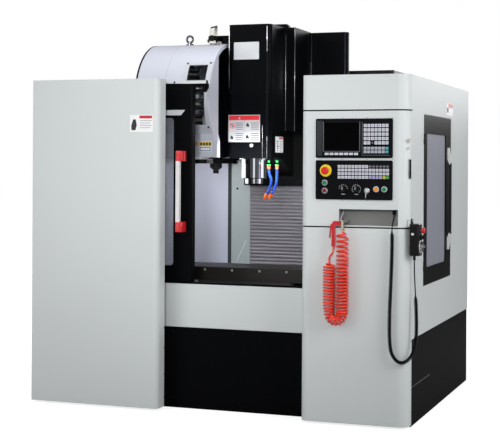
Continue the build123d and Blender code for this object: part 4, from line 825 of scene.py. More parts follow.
def add_pendant_cord():
    """The pendant's curly cord: straight out of the gland, curled in a loop, straight at the end."""
    curl_radius = 7.6 * WIND_OUT
    straight = 95
    gland_mouth = (1022, 26, 1116)
    down = [(1022, 26, 1098), (1022, -22, 1060), (1024, -22, 960), (1019, -22, 780), (1011, -22, 600)]
    loop = [(1012, -24, 450), (1028, -26, 382), (1073, -24, 344), (1121, -4, 372), (1141, 24, 440)]
    up = [(1144, 34, 560), (1135, 38, 703)]
    lead = [(1131.1, 39.73, 765), (1128, 40, 822), (1128, 40, 879)]

    def radius(way, whole):
        return curl_radius * ramp((way - straight) / 30) * ramp((whole - way) / 30)

    def pitch(way, whole):
        return 8.6 if way > straight - 10 else 60

    points = helix(line_of([gland_mouth] + down + loop + up), radius, pitch, 14)
    points = [gland_mouth] + points[1:] + [up[-1]] + lead
    replaced = ("pendant_curl", "pendant_lead")
    add_cord("pendant_cord", points, 3.2, 2, "cord_black", CORD_BLACK, "hanging", *replaced)


add_hose()
add_pendant_cord()


# Finishes of the CAD pieces that show as they are

FINISHES = (
    (CASTING_GREY, "bed_casting column_casting"),
    (DARK_STEEL, "levelling_feet"),
    (BLACK_SKIRT_AND_SHADE, "base_skirt"),
    (COVER_WHITE, "chip_pan left_front_panel left_side_wall right_side_wall control_housing"),
    (COVER_WHITE, "lower_column_cover upper_column_cover"),
    (UNIT_DARK, "screen_unit operator_unit"),
    (LENS_GREEN, "start_button light_button"),
    (LENS_RED, "stop_button"),
    (LENS_ORANGE, "reset_button"),
    (STOP_RED, "estop_button pendant_stop"),
    (KNOB_BLACK, "mode_switch override_switch pendant axis_selector step_selector"),
    (ZINC, "key_switch"),
    (ROOM_WALL, "splash_walls"),
    (TABLE_FRONT, "saddle"),
    (TABLE_IRON, "table"),
    (COVER_BLACK, "column_cover head_cover sliding_door door_track side_door"),
    (CASTING_BLACK, "head_casting spindle_motor changer_gearbox changer_shaft changer_arm"),
    (SPINDLE_CHROME, "spindle_housing spindle"),
    (NOZZLE_BLUE, "coolant_nozzles"),
    (NOZZLE_GREEN, "left_valve right_valve"),
    (DOOR_PANE, "door_glass"),
    (SIDE_PANE, "side_glass"),
    (HANDLE_RED, "door_handle"),
    (HANDLE_WHITE, "side_handle"),
    (MAGAZINE_WHITE, "magazine_cover"),
    (GROUND_STEEL, "tool_disc"),
    (BRASS, "air_unit"),
    (EYE_CHROME, "lifting_eye"),
    (CABINET_COAT, "electrical_cabinet"),
    (HARD_CHROME, "pendant_wheel"),
    (GUN_RED, "air_gun gun_trigger"),
    (BELLOWS, "z_bellows"),
)
for material, names in FINISHES:
    for name in names.split():
        slots = nodes[name].data.materials
        slots.clear()
        slots.append(material)


# Parts of the looks that lie on one CAD piece or on several


def paint(name, *rules):
    """Gives faces of a CAD piece another finish by where they lie; a rule is a test and a finish."""
    data = nodes[name].data
    for test, material in rules:
        data.materials.append(material)
        index = len(data.materials) - 1
        for face in data.polygons:
            x, y, z = (face.center - ZERO) / MM
            if test(x, y, z, face.normal):
                face.material_index = index


def sticker(name, body, slot, place, fields, *materials, figures=(), dots=()):
    """A flat piece on a face: fields, figures and dots, each with its height and finish."""
    shape = bmesh.new()
    for limits in fields:
        field(shape, place, *limits)
    for outline, height, finish, thick in figures:
        prism(shape, outline, place, thick, finish, lift=height)
    for dot in dots:
        spot(shape, place, *dot)
    show(shape, name, body, slot, *materials)


def blocks(name, body, slot, rows, *materials):
    """A piece of rounded blocks, each with its corners, rounding and finish."""
    shape = bmesh.new()
    for row in rows:
        slab(shape, *row)
    show(shape, name, body, slot, *materials)


def near(x, z, radius):
    """A test for faces round a centre on the front, proud of the units' foil."""
    return lambda fx, fy, fz, normal: fy < PROUD and math.hypot(fx - x, fz - z) < radius


def tube(name, points, radius):
    """A bent black plastic pipe, fixed at both ends, as a plain mesh."""
    mesh = spline_mesh(points, radius, 3, 6)
    mesh.name = name
    mesh.materials.clear()
    dress(name, mesh, "machine", "cord_black", CORD_BLACK)


# Control units: their middles on the front, and each key field's middle, size and counts

UNIT_X, SCREEN_Z = middle_of("screen_unit")
OPERATOR_Z = middle_of("operator_unit")[1]
PROUD = SCREEN_FACE - 0.3
SOFT_KEYS = (UNIT_X - 67.5, SCREEN_Z - 82.5, 187, 16, 7, 1)
LETTER_KEYS = (UNIT_X + 120, SCREEN_Z + 21, 136, 113, 7, 5)
CURSOR_KEYS = (UNIT_X + 120, SCREEN_Z - 61.5, 136, 38, 7, 2)
MACHINE_KEYS = (UNIT_X + 52, OPERATOR_Z + 43, 280, 76, 15, 4)


def key_places(middle_x, middle_z, width, height, columns, rows):
    """Middles of a field's keys on top of their caps, row by row from the top."""
    for row in range(rows):
        for column in range(columns):
            x = middle_x - width / 2 + (column + 0.5) * width / columns
            z = middle_z + height / 2 - (row + 0.5) * height / rows
            yield x, KEY_TOPS, z


def in_field(keys, columns=None, rows=None):
    """A test for the faces of a field's keys, or of the keys in some columns and rows."""
    middle_x, middle_z, width, height, count, lines = keys
    left, top = middle_x - width / 2, middle_z + height / 2

    def test(x, y, z, normal):
        if y > PROUD or not (0 < x - left < width and 0 < top - z < height):
            return False
        column, row = int((x - left) / width * count), int((top - z) / height * lines)
        return (columns is None or column in columns) and (rows is None or row in rows)

    return test


def add_units():
    """Screen and operator units: keys, screen, rings, ticks, marks and screws."""
    lcd = lambda x, y, z, n: -7.5 < y < -2 and 645 < x < 845 and 1448 < z < 1601
    paint(
        "screen_unit",
        (in_field(SOFT_KEYS), KEY_WHITE),
        (in_field(LETTER_KEYS), KEY_WHITE),
        (in_field(LETTER_KEYS, columns=(2,), rows=(4,)), UNIT_DARK),
        (in_field(CURSOR_KEYS), KEY_GREY),
        (in_field(CURSOR_KEYS, columns=(6,)), KEY_TEAL),
        (lcd, LCD_GLASS),
    )
    paint(
        "operator_unit",
        (in_field(MACHINE_KEYS), KEY_WHITE),
        (in_field(MACHINE_KEYS, columns=range(9, 15), rows=(0,)), KEY_DARK),
        (in_field(MACHINE_KEYS, columns=range(9, 13), rows=(3,)), KEY_LILAC),
        (in_field(MACHINE_KEYS, columns=(13,), rows=(3,)), KEY_YELLOW),
        (in_field(MACHINE_KEYS, columns=(14,), rows=(3,)), KEY_GREEN),
        (near(*middle_of("estop_button"), 34), STOP_YELLOW),
        (near(655, 1280, 16), KEY_GREY),
        (near(655, 1238, 16), KEY_GREY),
        (near(934, 1248, 16), KEY_WHITE),
        (near(978, 1248, 16), KEY_WHITE),
        (near(*middle_of("key_switch"), 16), ZINC),
    )

    # Fine grey marks on the key caps, one bar each
    for name, keys, width, height in (
        ("letter_key_marks", LETTER_KEYS, 7, 6),
        ("cursor_key_marks", CURSOR_KEYS, 9, 4),
        ("soft_key_marks", SOFT_KEYS, 10, 3),
        ("machine_key_marks", MACHINE_KEYS, 8, 5),
    ):
        sizes = {"Size": (width * MM, height * MM, 0.3 * MM), "Turn": TO_VIEWER, "Cap": KEY_MARK}
        grow(name, KEYS, key_places(*keys), "machine", "button_white", **sizes)

    # Raised frame round the screen, the keys' border right of it and the ribs left of it
    frame_bars = (
        (643, 1446, 647, 1602, 1.4),
        (842, 1446, 846, 1602, 1.0),
        (643, 1443, 846, 1446, 1.0),
        (856, 1426, 859, 1600, 1.0),
        (856, 1424, 1004, 1427, 1.0),
    )
    back = SCREEN_FACE + 0.5
    bars = [((a, SCREEN_FACE - h, b), (c, back, d), 0.5, 0) for a, b, c, d, h in frame_bars]
    rib = SCREEN_FACE - 0.8
    bars += [((x, rib, 1420), (x + 2.2, back, 1608), 0.4, 1) for x in range(612, 642, 6)]
    blocks("screen_frame", "machine", "control_grey", bars, FRAME_LINE, UNIT_FRAME)

    # White ticks, plain bars and pointers of the two rotary switches
    sizes = {"Radius": 22.5 * MM, "Size": (1.5 * MM, 5.5 * MM, 0.4 * MM), "Turn": TO_VIEWER}
    middles = {body: middle_of(body + "_switch") for body in ("mode", "override")}
    for body, start, sweep, count in (("mode", 0.15, 2.85, 7), ("override", -0.75, 4.5, 12)):
        x, z = middles[body]
        sizes.update({"Count": count, "From": start, "Sweep": sweep, "Print": LABEL_WHITE})
        grow(body + "_ticks", TICKS, [(x, PROUD, z)], "machine", "button_white", **sizes)
    bars = [(x - 10, x + 10, z - 29, z - 26, 0.1, 0) for x, z in middles.values()]
    sticker("switch_bars", "machine", "button_white", on_front(SCREEN_FACE), bars, LABEL_GREY)
    for body, (x, z) in middles.items():
        node = body + "_switch"
        face = on_front(mm_box(node)[0].y)
        line, dot = (x - 0.9, x + 0.9, z + 5, z + 13, 0.05, 0), (x, z, 2.6, 0.05, 0)
        sticker(node + "_pointer", body, "button_white", face, [line], LABEL_WHITE, dots=[dot])

    # Key in its lock, with a second one hanging from it
    x, z = middle_of("key_switch")
    y = mm_box("key_switch")[0].y
    shape = bmesh.new()
    slab(shape, (x - 1.2, y - 9, z - 9), (x + 1.2, y + 1, z + 9), 1.0)
    slab(shape, (x - 2, y - 8, z - 22), (x + 7, y - 6, z - 8), 0.9)
    slab(shape, (x - 1, y - 8, z - 40), (x + 2.5, y - 6, z - 22), 0.6)
    turned(shape, [(0, 0), (5, 0), (5, 2), (0, 2)], (x + 3, y - 8, z - 14), (0, -1, 0), 20)
    show(shape, "lock_keys", "key", "chrome_trim", ZINC)

    heads = [(x, 0, z) for x in (747, 882.5, 1019) for z in (1622, 1404.8, 1188)]
    screws("unit_screws", heads, 3.8, TO_VIEWER, "machine", "chrome_trim", SCREW_GREY)


def add_column_paint():
    """Black joints of the column's covers, painted shade in the recess, its gland and the air fittings."""
    gap = 7
    feet = (end_of("lower_column_cover", 1, "z"), end_of("upper_column_cover", 0, "z") - gap)
    levels = [foot + rise for foot in feet for rise in (0, gap)]
    joint = lambda x, y, z, n: y > 1 and any(foot + 0.1 < z < foot + gap - 0.1 for foot in feet)
    edge = lambda x, y, z, n: abs(n.z) > 0.9 and any(abs(z - level) < 0.2 for level in levels)
    recess = lambda x, y, z, n: 2 < y < 82 and 730 < x < 1050 and 1056 < z < 1142
    gland = lambda x, y, z, n: math.hypot(x - 1022, y - 26) < 13 and 1112 < z < 1142 and abs(n.z) < 0.95
    elbow = lambda x, y, z, n: y < -0.5 and 738 < x < 790 and z < 1100
    holder = lambda x, y, z, n: y < -0.5 and 710 < x < 738 and z < 1100
    for name in ("lower_column_cover", "control_housing", "upper_column_cover"):
        paint(name, (joint, SEAM_BLACK), (edge, SEAM_BLACK))
    # The recess's faces get the grey of painted shade
    paint("control_housing", (recess, RECESS_SHADE), (gland, CORD_BLACK))
    for name in ("control_housing", "lower_column_cover"):
        paint(name, (elbow, BRASS), (holder, ZINC))


def add_plates():
    """Bare plates, plain coloured stickers and marks, each on its own cover."""
    print_white = (LABEL_WHITE, LABEL_RED, LABEL_BLACK, LABEL_GREY)

    # Sticker on the left front panel
    fields = [(-486, -345, 1551, 1647, 0.1, 0), (-428, -350, 1627, 1643, 0.5, 1)]
    for row in range(4):
        fields.append((-424, -352 - 9 * (row % 2), 1612 - 13 * row, 1617 - 13 * row, 0.5, 3))
    outline = [(-476, 1562), (-452, 1562), (-444, 1590), (-451, 1622), (-466, 1622), (-478, 1588)]
    figures = [(outline, 0.5, 2, 0.4)]
    place = ("machine", "button_white", on_front(0))
    sticker("panel_sticker", *place, fields, *print_white, figures=figures)

    # Bare plate, four-field sticker and plug on the head
    face = on_front(HEAD_FACE)
    shape = bmesh.new()
    prism(shape, rounded(-96, 62, 1995, 2098, 3, 3), face, 1.2, 0, 0.4)
    show(shape, "head_plate", "head", "chrome_trim", NAME_PLATE)
    fields = [
        (-128, 71, 1506, 1667, 0.1, 0),
        (-124, 67, 1636, 1663, 0.5, 1),
        (-29.5, -28, 1508, 1634, 0.5, 3),
        (-126, 69, 1571, 1572.5, 0.5, 3),
    ]
    for left, right in ((-82, -36), (14, 64)):
        for level in (1580, 1592, 1604, 1616, 1518, 1530, 1542, 1554):
            fields.append((left, right, level, level + 5, 0.5, 3))
    figures = [
        ([(-66, 1642), (-50, 1642), (-58, 1656)], 0.9, 0, 0.3),
        ([(-110, 1609), (-106, 1613), (-94, 1598), (-98, 1594)], 1.3, 2, 0.3),
    ]
    for u, v in ((-114, 1524), (-14, 1598), (-16, 1528)):
        blot = [(u, v), (u + 18, v - 2), (u + 16, v + 12), (u + 6, v + 22), (u - 2, v + 12)]
        figures.append((blot, 0.5, 2, 0.4))
    dots = [(-102, 1603, 17, 0.5, 1), (-102, 1603, 13, 0.9, 0)]
    finishes = (HEAD_LABEL, LABEL_RED, LABEL_BLACK, HEAD_PRINT)
    place = ("head", "button_white", face)
    sticker("head_sticker", *place, fields, *finishes, figures=figures, dots=dots)
    plug = (18, 1486, 10.5, 0.0, 0, 2.2, 28)
    sticker("head_plug", "head", "chrome_trim", face, [], HEAD_LABEL, dots=[plug])

    # Small label on the right side of the head
    fields = [(702, 846, 1446, 1541, 0.1, 0), (770, 838, 1527, 1537, 0.5, 1)]
    for row in range(5):
        foot = 1452 + 14 * row
        fields.append((730, 744 + 9 * (row % 3), foot, foot + 7, 0.5, 2))
        fields.append((784, 816, foot, foot + 6, 0.5, 3))
    place = ("head", "button_white", on_right(HEAD_SIDE))
    sticker("head_side_label", *place, fields, *print_white)

    # Yellow and blue sticker below the magazine's window
    fields = [
        (-244, -164, 1446, 1509, 0.1, 0),
        (-241, -167, 1480, 1504, 0.5, 1),
        (-238, -170, 1450, 1455, 0.5, 3),
        (-238, -170, 1469, 1473, 0.5, 3),
        (-238, -234, 1455, 1469, 0.5, 3),
        (-174, -170, 1455, 1469, 0.5, 3),
        (-270, -256, 1480, 1506, 0.5, 4),
    ]
    fields += [(u, u + 11, 1485, 1499, 0.9, 2) for u in (-234, -216, -198, -180)]
    finishes = (LABEL_WHITE, LABEL_YELLOW, LABEL_BLACK, LABEL_BLUE, LABEL_ORANGE)
    place = ("machine", "button_white", on_front(MAGAZINE_FACE))
    sticker("magazine_sticker", *place, fields, *finishes)

    # Grey stripe of the door's header
    stripe = [(-345, 1650), (-249, 1650), (-224, 1680), (-345, 1680)]
    place = ("door", "button_white", on_front(DOOR_FACE))
    sticker("door_stripe", *place, [], STRIPE_GREY, figures=[(stripe, 0, 0, 0.5)])

    # Red and white corner label and small marks on the right side
    fields = [
        (984, 1175, 1672, 1742, 0.0, 0),
        (1030, 1165, 1718, 1740, 0.4, 1, 0.2),
        (992, 1040, 1688, 1716, 0.4, 2, 0.2),
        (8, 40, 1492, 1514, 0.0, 0),
        (10, 38, 1503, 1512, 0.4, 4, 0.2),
    ]
    place = ("machine", "button_white", on_right(RIGHT_SIDE))
    finishes = (*print_white, LABEL_ORANGE)
    sticker("side_label", *place, fields, *finishes, dots=[(22, 1464, 9, 0.0, 0)])


def add_head_trim():
    """Painted highlights along the folded edges and joints of the head's cover and of the column's shield,
    and their screws.
    """
    rows = []
    # Light strips of painted highlight where the head's folded edges catch the light
    for x, y, low, high, wide, finish in (
        (-131, 622.4, 1826, 2196, 4.0, 0),
        (112, 608.6, 2040, 2190, 3.6, 0),
        (86, 608, 1412, 1605, 3.2, 0),
        (114, 609, 1412, 1540, 3.2, 1),
    ):
        rows.append(((x - wide / 2, y - 0.9, low), (x + wide / 2, y + 1.5, high), 0.3, finish))
    # Dim painted highlights on the edges of the head's wide part
    for x, high in ((147.5, 2160), (205.5, 2196)):
        rows.append(((x - 1.3, 850.3, 1580), (x + 1.3, 852, high), 0.3, 2))
    blocks("head_edge_highlights", "head", "chrome_trim", rows, BRIGHT_EDGE_HIGHLIGHT, GREY_HIGHLIGHT_AND_JOINT, DIM_BLUE_EDGE_HIGHLIGHT)
    look = (TO_VIEWER, "head", "steel_dark", DARK_STEEL)
    heads = [(x, HEAD_FACE, z) for x, z in ((-115, 1802), (-115, 2140), (108, 1802), (108, 1690))]
    screws("head_screws", heads, 4.5, *look)
    # Dim painted highlights on the shield's folded edges
    rows = [((x - 1.4, 1165.2, 1700), (x + 1.4, 1167, 2192), 0.3, 0) for x in (212, 430)]
    blocks("shield_edge_highlights", "machine", "chrome_trim", rows, DIM_BLUE_EDGE_HIGHLIGHT)
    screws("slide_screws", [(x, SLIDE_FACE, 1255) for x in (144, -144)], 5, *look)


# Magazine: round cover about an axis along X

DRUM_Y, DRUM_Z = middle_of("tool_disc", "yz")
DRUM_RADIUS = DRUM_Y - end_of("magazine_cover", 0, "y")
CHIN = 1552


def drum_point(x, angle, height):
    """A point on the magazine's round cover; the angle runs from the front over the top."""
    radius = DRUM_RADIUS + height
    return Vector((x, DRUM_Y - radius * math.cos(angle), DRUM_Z + radius * math.sin(angle)))


def drum_band(shape, x0, x1, low, high, thick, finish, steps):
    """A strip that lies on the round cover between two angles."""
    rows = []
    section = ((x0, -0.3), (x1, -0.3), (x1, thick), (x0, thick))
    for n in range(steps + 1):
        angle = low + (high - low) * n / steps
        rows.append([shape.verts.new(drum_point(x, angle, height)) for x, height in section])
    for a, b in zip(rows, rows[1:]):
        for n in range(4):
            m = (n + 1) % 4
            shape.faces.new((a[n], a[m], b[m], b[n])).material_index = finish
    for row in (rows[0], rows[-1]):
        shape.faces.new(row).material_index = finish


def drum_angle(z):
    return math.asin((z - DRUM_Z) / DRUM_RADIUS)


def add_magazine_details():
    """Window frame with its screws, joint and end rim of the magazine, and painted shade on its inside."""
    wall = 1.5
    left, right = (end_of("magazine_cover", side, "x") for side in (0, 1))
    bottom = end_of("magazine_cover", 0, "z")

    def inside(x, y, z, normal):
        if not left + wall < x < right - wall:
            return False
        if z > CHIN - 0.4 or y > DRUM_Y:
            return math.hypot(y - DRUM_Y, z - DRUM_Z) < DRUM_RADIUS - wall
        return y > MAGAZINE_FACE + wall and z > bottom + wall

    notch = lambda x, y, z, n: abs(x + 212) < 1 and y > 508
    shadow = lambda x, y, z, n: -212.5 < x < -155.5 and y > 509 and z < 2060 and abs(n.y) < 0.99
    # Painted shade: the inside, the notch wall and the faces in the gap by the head are made blue-black
    paint("magazine_cover", *((test, MAGAZINE_SHADE) for test in (inside, shadow, notch)))

    foot, top, rim = drum_angle(1602), drum_angle(1952), 26 / DRUM_RADIUS
    shape = bmesh.new()
    for x0, x1 in ((-331, -305.5), (-186.5, -161)):
        drum_band(shape, x0, x1, foot - rim, top + rim, 3.0, 0, 30)
    for low, high in ((top + 0.002, top + rim), (foot - rim, foot - 0.002)):
        drum_band(shape, -305.5, -186.5, low, high, 3.0, 0, 4)
    show(shape, "window_frame", "machine", "cover_white", WINDOW_FRAME_AND_FOLD_HIGHLIGHT)

    shape = bmesh.new()
    for x in (-318, -174):
        for angle in (top + rim / 2, foot - rim / 2, 0.27):
            base = drum_point(x, angle, 2.9)
            out = drum_point(x, angle, 10) - base
            turned(shape, [(6.2, 0), (6.2, 2), (4.4, 3.4), (0, 3.4)], base, out, 18)
    show(shape, "window_screws", "machine", "steel_dark", DARK_STEEL)

    shape = bmesh.new()
    drum_band(shape, -441, -438.5, drum_angle(CHIN), 2.4, 0.5, 1, 40)
    drum_band(shape, left, left + 11, drum_angle(CHIN), 2.4, 0.6, 0, 40)
    show(shape, "magazine_joints", "machine", "cover_white", COVER_BLACK, JOINT_GREY)


def add_air_fittings():
    """Black hoses and brass fittings of the air unit on top of the magazine."""
    paint(
        "air_unit",
        (lambda x, y, z, n: z < 2176, FITTING_CREAM),
        (lambda x, y, z, n: 2111 <= z < 2148 or z >= 2176, CASTING_BLACK),
    )
    start = [(-258, 646, 2092), (-261, 644, 2130), (-261, 644, 2176)]
    tube("air_pipe", start + [(-258, 646, 2194), (-246, 652, 2199), (-226, 662, 2198)], 4.5)
    loop = [(-259, 646, 2127), (-272, 642, 2126), (-279, 642, 2114), (-272, 642, 2103)]
    tube("air_loop", loop + [(-259, 646, 2104)], 3)


def add_nozzles():
    """Coolant nozzles: black elbow blocks, green valves with yellow bands and orange rings, ball segments
    and orange tips.
    """
    upright = (0, 0, 1)
    valve = [(0, 0), (7, 0), (8, 3), (8, 12), (6, 16), (0, 16)]
    band = [(0, 0), (7, 0), (7, 8), (0, 8)]
    ring = [(0, 0), (8, 0), (10, 2), (10, 13), (7.5, 16), (7.5, 20), (0, 20)]
    shape = bmesh.new()
    for x in (117, 167):
        for profile, z, finish in ((valve, 1384, 2), (band, 1366, 3), (ring, 1347, 1)):
            turned(shape, profile, (x, 640, z), upright, 20, finish)
        slab(shape, (x - 14, 629, 1398), (x + 14, 651, 1409), 2, 0)
    finishes = (CASTING_BLACK, NOZZLE_ORANGE, NOZZLE_GREEN, LABEL_YELLOW)
    nozzles = show(shape, "nozzle_fittings", "head", "brass_fittings", *finishes)
    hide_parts("coolant_nozzles")
    for side, x, lean, drop in (("left", 117, 20, -14), ("right", 167, 2, -34)):
        bend = [(x + lean, 634, 1280), (x + lean - 10, 634, 1236), (x + drop, 638, 1196)]
        path = line_of([(x, 640, 1350), (x, 638, 1326)] + bend, 8)
        edges = [(n, n + 1) for n in range(len(path) - 1)]
        sizes = {"edges": edges, "Pitch": 18 * MM, "Radius": 9.6 * MM, "Plastic": NOZZLE_BLUE}
        grow(side + "_nozzle_segments", SEGMENTS, path, "head", "nozzle_plastic", **sizes)
        tip = [(0, -4), (10.5, -4), (10.5, 8), (5, 34), (3.4, 34), (0, 30)]
        shape = bmesh.new()
        turned(shape, tip, path[-1], (path[-1] - path[-4]).normalized(), 20)
        show(shape, side + "_nozzle_tip", "head", "nozzle_plastic", NOZZLE_ORANGE)


def add_bellows():
    """Folded cloth over the column's ways, made as one fixed piece; the real cloth draws together as the
    head comes down.
    """
    low, high = mm_box("z_bellows")
    folds, depth = 24, 9.0
    middle = Vector(((low.x + high.x) / 2, (low.y + depth + high.y) / 2, (low.z + high.z) / 2))
    size = Vector((high.x - low.x, high.y - low.y - depth, high.z - low.z))
    cover = grow(
        "way_bellows",
        PLEATS,
        [(0, 0, 0)],
        None,
        "bellows_cloth",
        Size=tuple(size * MM),
        Centre=tuple(TO_FRAME @ middle),
        Step=size.z / folds / 2 * MM,
        Depth=depth * MM,
        Rows=folds * 8 + 1,
        Cloth=BELLOWS,
    )
    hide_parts("z_bellows")
    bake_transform(cover)


def add_room():
    """Work room: lavender panel and grey-green wall with a dark joint, a hole and a painted highlight on
    the fold at its foot, and painted shade in the chip pan.
    """
    paint("splash_walls", (lambda x, y, z, n: x < -365.5 and y < ROOM_BACK + 1.5, ROOM_PANEL))
    face = on_front(ROOM_BACK)
    joint = [(-379, -342, 690, 1385, 0.0, 0, 0.6), (-342, -318, 690, 1385, 0.0, 1, 0.7)]
    sticker("wall_joint", "machine", "interior_grey", face, joint, ROOM_PANEL, ROOM_DARK)
    # A light strip of painted highlight along the fold at the wall's foot
    fold = ([(-218, 892), (-282, 756), (-277, 756), (-213, 892)], 0, 0, 0.6)
    sticker("painted_fold_highlight", "machine", "interior_grey", face, [], WINDOW_FRAME_AND_FOLD_HIGHLIGHT, figures=[fold])
    hole = (-278, 1219, 7, 0.0, 0, 0.8, 16)
    sticker("wall_hole", "machine", "steel_dark", face, [], SEAM_BLACK, dots=[hole])
    heads = [(x, TABLE_FACE - 1, 748) for x in (-254, -82, 90, 256)]
    screws("table_screws", heads, 7, TO_VIEWER, "table_slider", "ground_iron", SCREW_GREY)
    # Painted shade: the chip pan's inner, back-facing and upward faces are made black, for the shade inside
    # it
    paint("chip_pan", (lambda x, y, z, n: y > 152 or n.y > 0.5 or n.z > 0.5, BLACK_SKIRT_AND_SHADE))
    slots = lambda y, z, n: n.z < 0.5 and z > 745 and 561 < y < 879
    paint("table", (lambda x, y, z, n: not (z > 764.5 or slots(y, z, n)), TABLE_FRONT))


def add_body_screws():
    """Screws of the panel's return, the column's side and the skirt, its joint and a corner slot."""
    white = (TO_RIGHT, "machine", "chrome_trim")
    screws("return_screws", [(-310, 84, z) for z in (454, 343, 195, 66)], 4, *white)
    screws("column_screws", [(RIGHT_SIDE, 64, z) for z in (455, 247, 200, 90)], 4, *white)
    heads = [(x, 150, z) for x in (-280, 80, 470) for z in (430, 60)]
    screws("skirt_screws", heads, 4.5, TO_VIEWER, "machine", "steel_dark", DARK_STEEL)
    joint = ((1099.8, 92, 205), (1101.2, 560, 207.5), 0.2)
    blocks("skirt_joint", "machine", "skirt_black", [joint], GREY_HIGHLIGHT_AND_JOINT)
    slot = ((1103.8, 26, 1304), (1105.1, 58, 1405), 0.4)
    blocks("corner_slot", "machine", "skirt_black", [slot], SEAM_BLACK)


def add_door_paint():
    """White grip between red elbows, and the beam's white strip with its dark bolt."""
    elbow = 57
    low, high = mm_box("door_handle")
    foot, head = (end_of("door_handle", side, "z") for side in (0, 1))
    grip = lambda x, y, z, n: foot + elbow < z < head - elbow
    paint("door_handle", (grip, HANDLE_WHITE))
    ends = ((low.z - 0.5, low.z + elbow), (high.z - elbow, high.z + 0.5))
    front = (low.x - 0.7, low.y - 0.7)
    rows = [((*front, z0), (high.x + 0.7, low.y + 30, z1), 2, 0, 3) for z0, z1 in ends]
    blocks("grip_ends", "door", "handle_red", rows, HANDLE_RED)
    for name in ("sliding_door", "door_track"):
        paint(name, (lambda x, y, z, n: z > 1828.5 and x < -120, COVER_WHITE))
    bolt = [(-290, DOOR_FACE, 1837)]
    screws("beam_bolt", bolt, 6, TO_VIEWER, "door", "steel_dark", DARK_STEEL)


def add_side_door_paint():
    """Right side door: white ends on its dark grip, and dark hinges."""
    hinge_side = lambda x, y, z, n: x > RIGHT_SIDE + 0.3
    paint("side_handle", (lambda x, y, z, n: 975 <= z <= 1388, KNOB_BLACK))
    paint("side_door", (lambda x, y, z, n: hinge_side(x, y, z, n) and y < 500, KNOB_BLACK))
    paint("right_side_wall", (hinge_side, KNOB_BLACK))


def add_cabinet_details():
    """Rear cabinet: joints of its two doors, louvres, hinges and locks, all flush."""
    rim, foot, head = 4, 362, 1962
    fields, locks = [], []
    for inner, outer in ((-4, -590), (4, 590)):
        left, right = sorted((inner, outer))
        for u0, u1, v0, v1 in (
            (left, right, head - rim, head),
            (left, right, foot, foot + rim),
            (left, left + rim, foot, head),
            (right - rim, right, foot, head),
        ):
            fields.append((u0, u1, v0, v1, 0.0, 0))
        middle = (left + right) / 2
        for z in [start + 18 * n for start in (430, 1650) for n in range(12)]:
            fields.append((middle - 160, middle + 160, z, z + 8, 0.0, 1))
            fields.append((middle - 160, middle + 160, z + 8, z + 10, 0.0, 0))
        for z in (520, 1160, 1800):
            fields.append((outer - 7, outer + 7, z - 40, z + 40, 0.3, 2))
        for z in (700, 1160, 1620):
            locks.append((inner * 10, z, 13, 0.0, 2))
            fields.append((inner * 10 - 2, inner * 10 + 2, z - 7, z + 7, 0.4, 1, 0.2))
    place = ("machine", "steel_dark", on_back(CABINET_BACK))
    sticker("cabinet_joints", *place, fields, GREY_HIGHLIGHT_AND_JOINT, SEAM_BLACK, ZINC, dots=locks)


def add_gun_and_pendant():
    """Air gun's fitting and nozzle, the pendant's white mark and the scale of its wheel."""
    fitting, nozzle = lambda x, y, z, n: z > 1080, lambda x, y, z, n: z < 955
    paint("air_gun", (fitting, ZINC), (nozzle, BRASS))
    button = lambda x, y, z, n: math.hypot(x - 1128, z - 1018) < 9 and y < -3.2
    paint("pendant", (button, KEY_WHITE))
    shape = bmesh.new()
    middle = (end_of("pendant", 1, "x"), *middle_of("pendant_wheel", "yz"))
    turned(shape, [(33, 0), (33, 0.8), (0, 0.8)], middle, (1, 0, 0), 36)
    show(shape, "wheel_scale", "machine", "button_white", LABEL_WHITE)


for build in (
    add_units,
    add_column_paint,
    add_plates,
    add_head_trim,
    add_magazine_details,
    add_air_fittings,
    add_nozzles,
    add_bellows,
    add_room,
    add_body_screws,
    add_door_paint,
    add_side_door_paint,
    add_cabinet_details,
    add_gun_and_pendant,
):
    build()


# Studio: pale floor and backdrop that show white, soft lamps


def studio_white(name, colour, glow):
    """A white floor that glows to the camera, less round the machine, so that shadows show there."""
    material, tree, shader, place = new_material(name)
    seen = add(tree, "ShaderNodeLightPath").outputs["Is Camera Ray"]
    away = add(tree, "ShaderNodeVectorMath", {"operation": "LENGTH"}, i0=place).outputs["Value"]
    level = add(tree, "ShaderNodeMapRange", Value=away, From_Min=1.5, From_Max=4.0, To_Min=glow, To_Max=1.0)
    power = add(tree, "ShaderNodeMath", TIMES, i0=seen, i1=level)
    set_shader(shader, Base_Color=linear(colour), Roughness=0.9, Specular_IOR_Level=0.0)
    set_shader(shader, Emission_Color=(1.0, 1.0, 1.0, 1.0))
    tree.links.new(power.outputs[0], shader.inputs["Emission Strength"])
    return material


def add_floor():
    """A wide floor just below the machine's feet."""
    shape = bmesh.new()
    bmesh.ops.create_grid(shape, x_segments=1, y_segments=1, size=30)
    mesh = bpy.data.meshes.new("floor")
    shape.to_mesh(mesh)
    shape.free()
    mesh.materials.append(studio_white("floor_white", "#A8A8A8", 0.8))
    floor = new_object("floor", mesh)
    floor.location.z = -0.0005


def add_world():
    """A world that shows white to the camera and through glass, and lights the scene softly."""
    world = bpy.data.worlds.new("studio")
    bpy.context.scene.world = world
    world.use_nodes = True
    tree = world.node_tree
    path = add(tree, "ShaderNodeLightPath").outputs
    rays = {"i0": path["Is Camera Ray"], "i1": path["Is Transmission Ray"]}
    direct = add(tree, "ShaderNodeMath", {"operation": "MAXIMUM"}, **rays)
    power = add(tree, "ShaderNodeMapRange", Value=direct, To_Min=0.24, To_Max=1.0)
    background = tree.nodes["Background"]
    background.inputs["Color"].default_value = (1.0, 1.0, 1.0, 1.0)
    tree.links.new(power.outputs["Result"], background.inputs["Strength"])


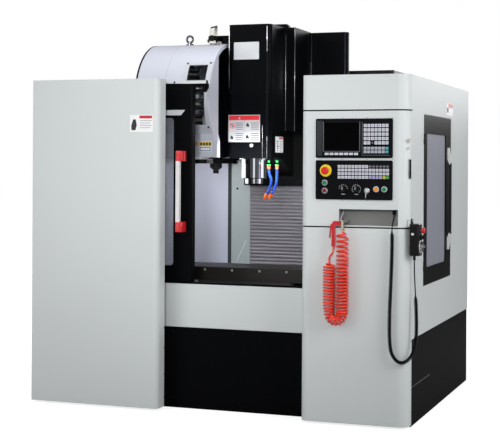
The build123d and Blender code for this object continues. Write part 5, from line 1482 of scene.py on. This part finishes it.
def add_lamp(name, kind, place, target, watts):
    """A lamp at a place on the machine, aimed at another; gives its data and object."""
    data = bpy.data.lights.new(name, kind)
    data.energy = watts
    lamp = new_object(name, data)
    lamp.location = at(*place)
    lamp.rotation_euler = (at(*target) - lamp.location).to_track_quat("-Z", "Y").to_euler()
    return data, lamp


# Soft boxes: place and target in millimetres, width and height in metres, watts
SOFT_BOXES = (
    ("front_left", (-2600, -3600, 3400), (-200, 200, 1200), 2.4, 2.2, 58),
    ("front_right", (4200, -1400, 2500), (900, 500, 1200), 1.8, 2.2, 78),
    ("overhead", (0, 300, 4600), (0, 600, 1000), 3.0, 2.4, 45),
    ("low_left", (-2100, -2400, 900), (-700, 0, 400), 1.6, 1.2, 11),
    ("right", (4600, 1500, 1300), (1100, 800, 1100), 2.4, 2.0, 26),
    ("left", (-4300, 900, 2800), (-1100, 700, 1200), 2.4, 2.4, 55),
    ("rear", (1200, 5600, 3000), (0, 1600, 1200), 3.0, 2.4, 80),
    ("work_left", (-480, 500, 1385), (-460, 1168, 1270), 0.3, 0.1, 2.6),
    ("strip_front", (1050, -3000, 1400), (0, 640, 1370), 1.1, 0.5, 5),
    ("strip_right", (480, 640, 1355), (0, 640, 1355), 0.42, 0.25, 1.2),
    ("strip_left", (-185, 700, 1330), (0, 640, 1330), 0.26, 0.16, 0.6),
    ("work_right", (60, 480, 1405), (60, 1120, 1400), 0.3, 0.05, 2.6),
)

add_floor()
add_world()
for name, place, target, width, height, watts in SOFT_BOXES:
    data, lamp = add_lamp(name, "AREA", place, target, watts)
    data.shape = "RECTANGLE"
    data.size = width
    data.size_y = height
    lamp.visible_camera = False
    lamp.visible_glossy = not name.startswith("work")

# Soft spot from the photographer's side, which reaches the back of the work room
data, lamp = add_lamp("spot", "SPOT", (2300, -9000, 2900), (0, 500, 1500), 1500)
data.shadow_soft_size = 0.7
data.spot_size = math.radians(21)
data.spot_blend = 1.0
bpy.context.scene.view_settings.view_transform = "Standard"

bpy.context.view_layer.update()
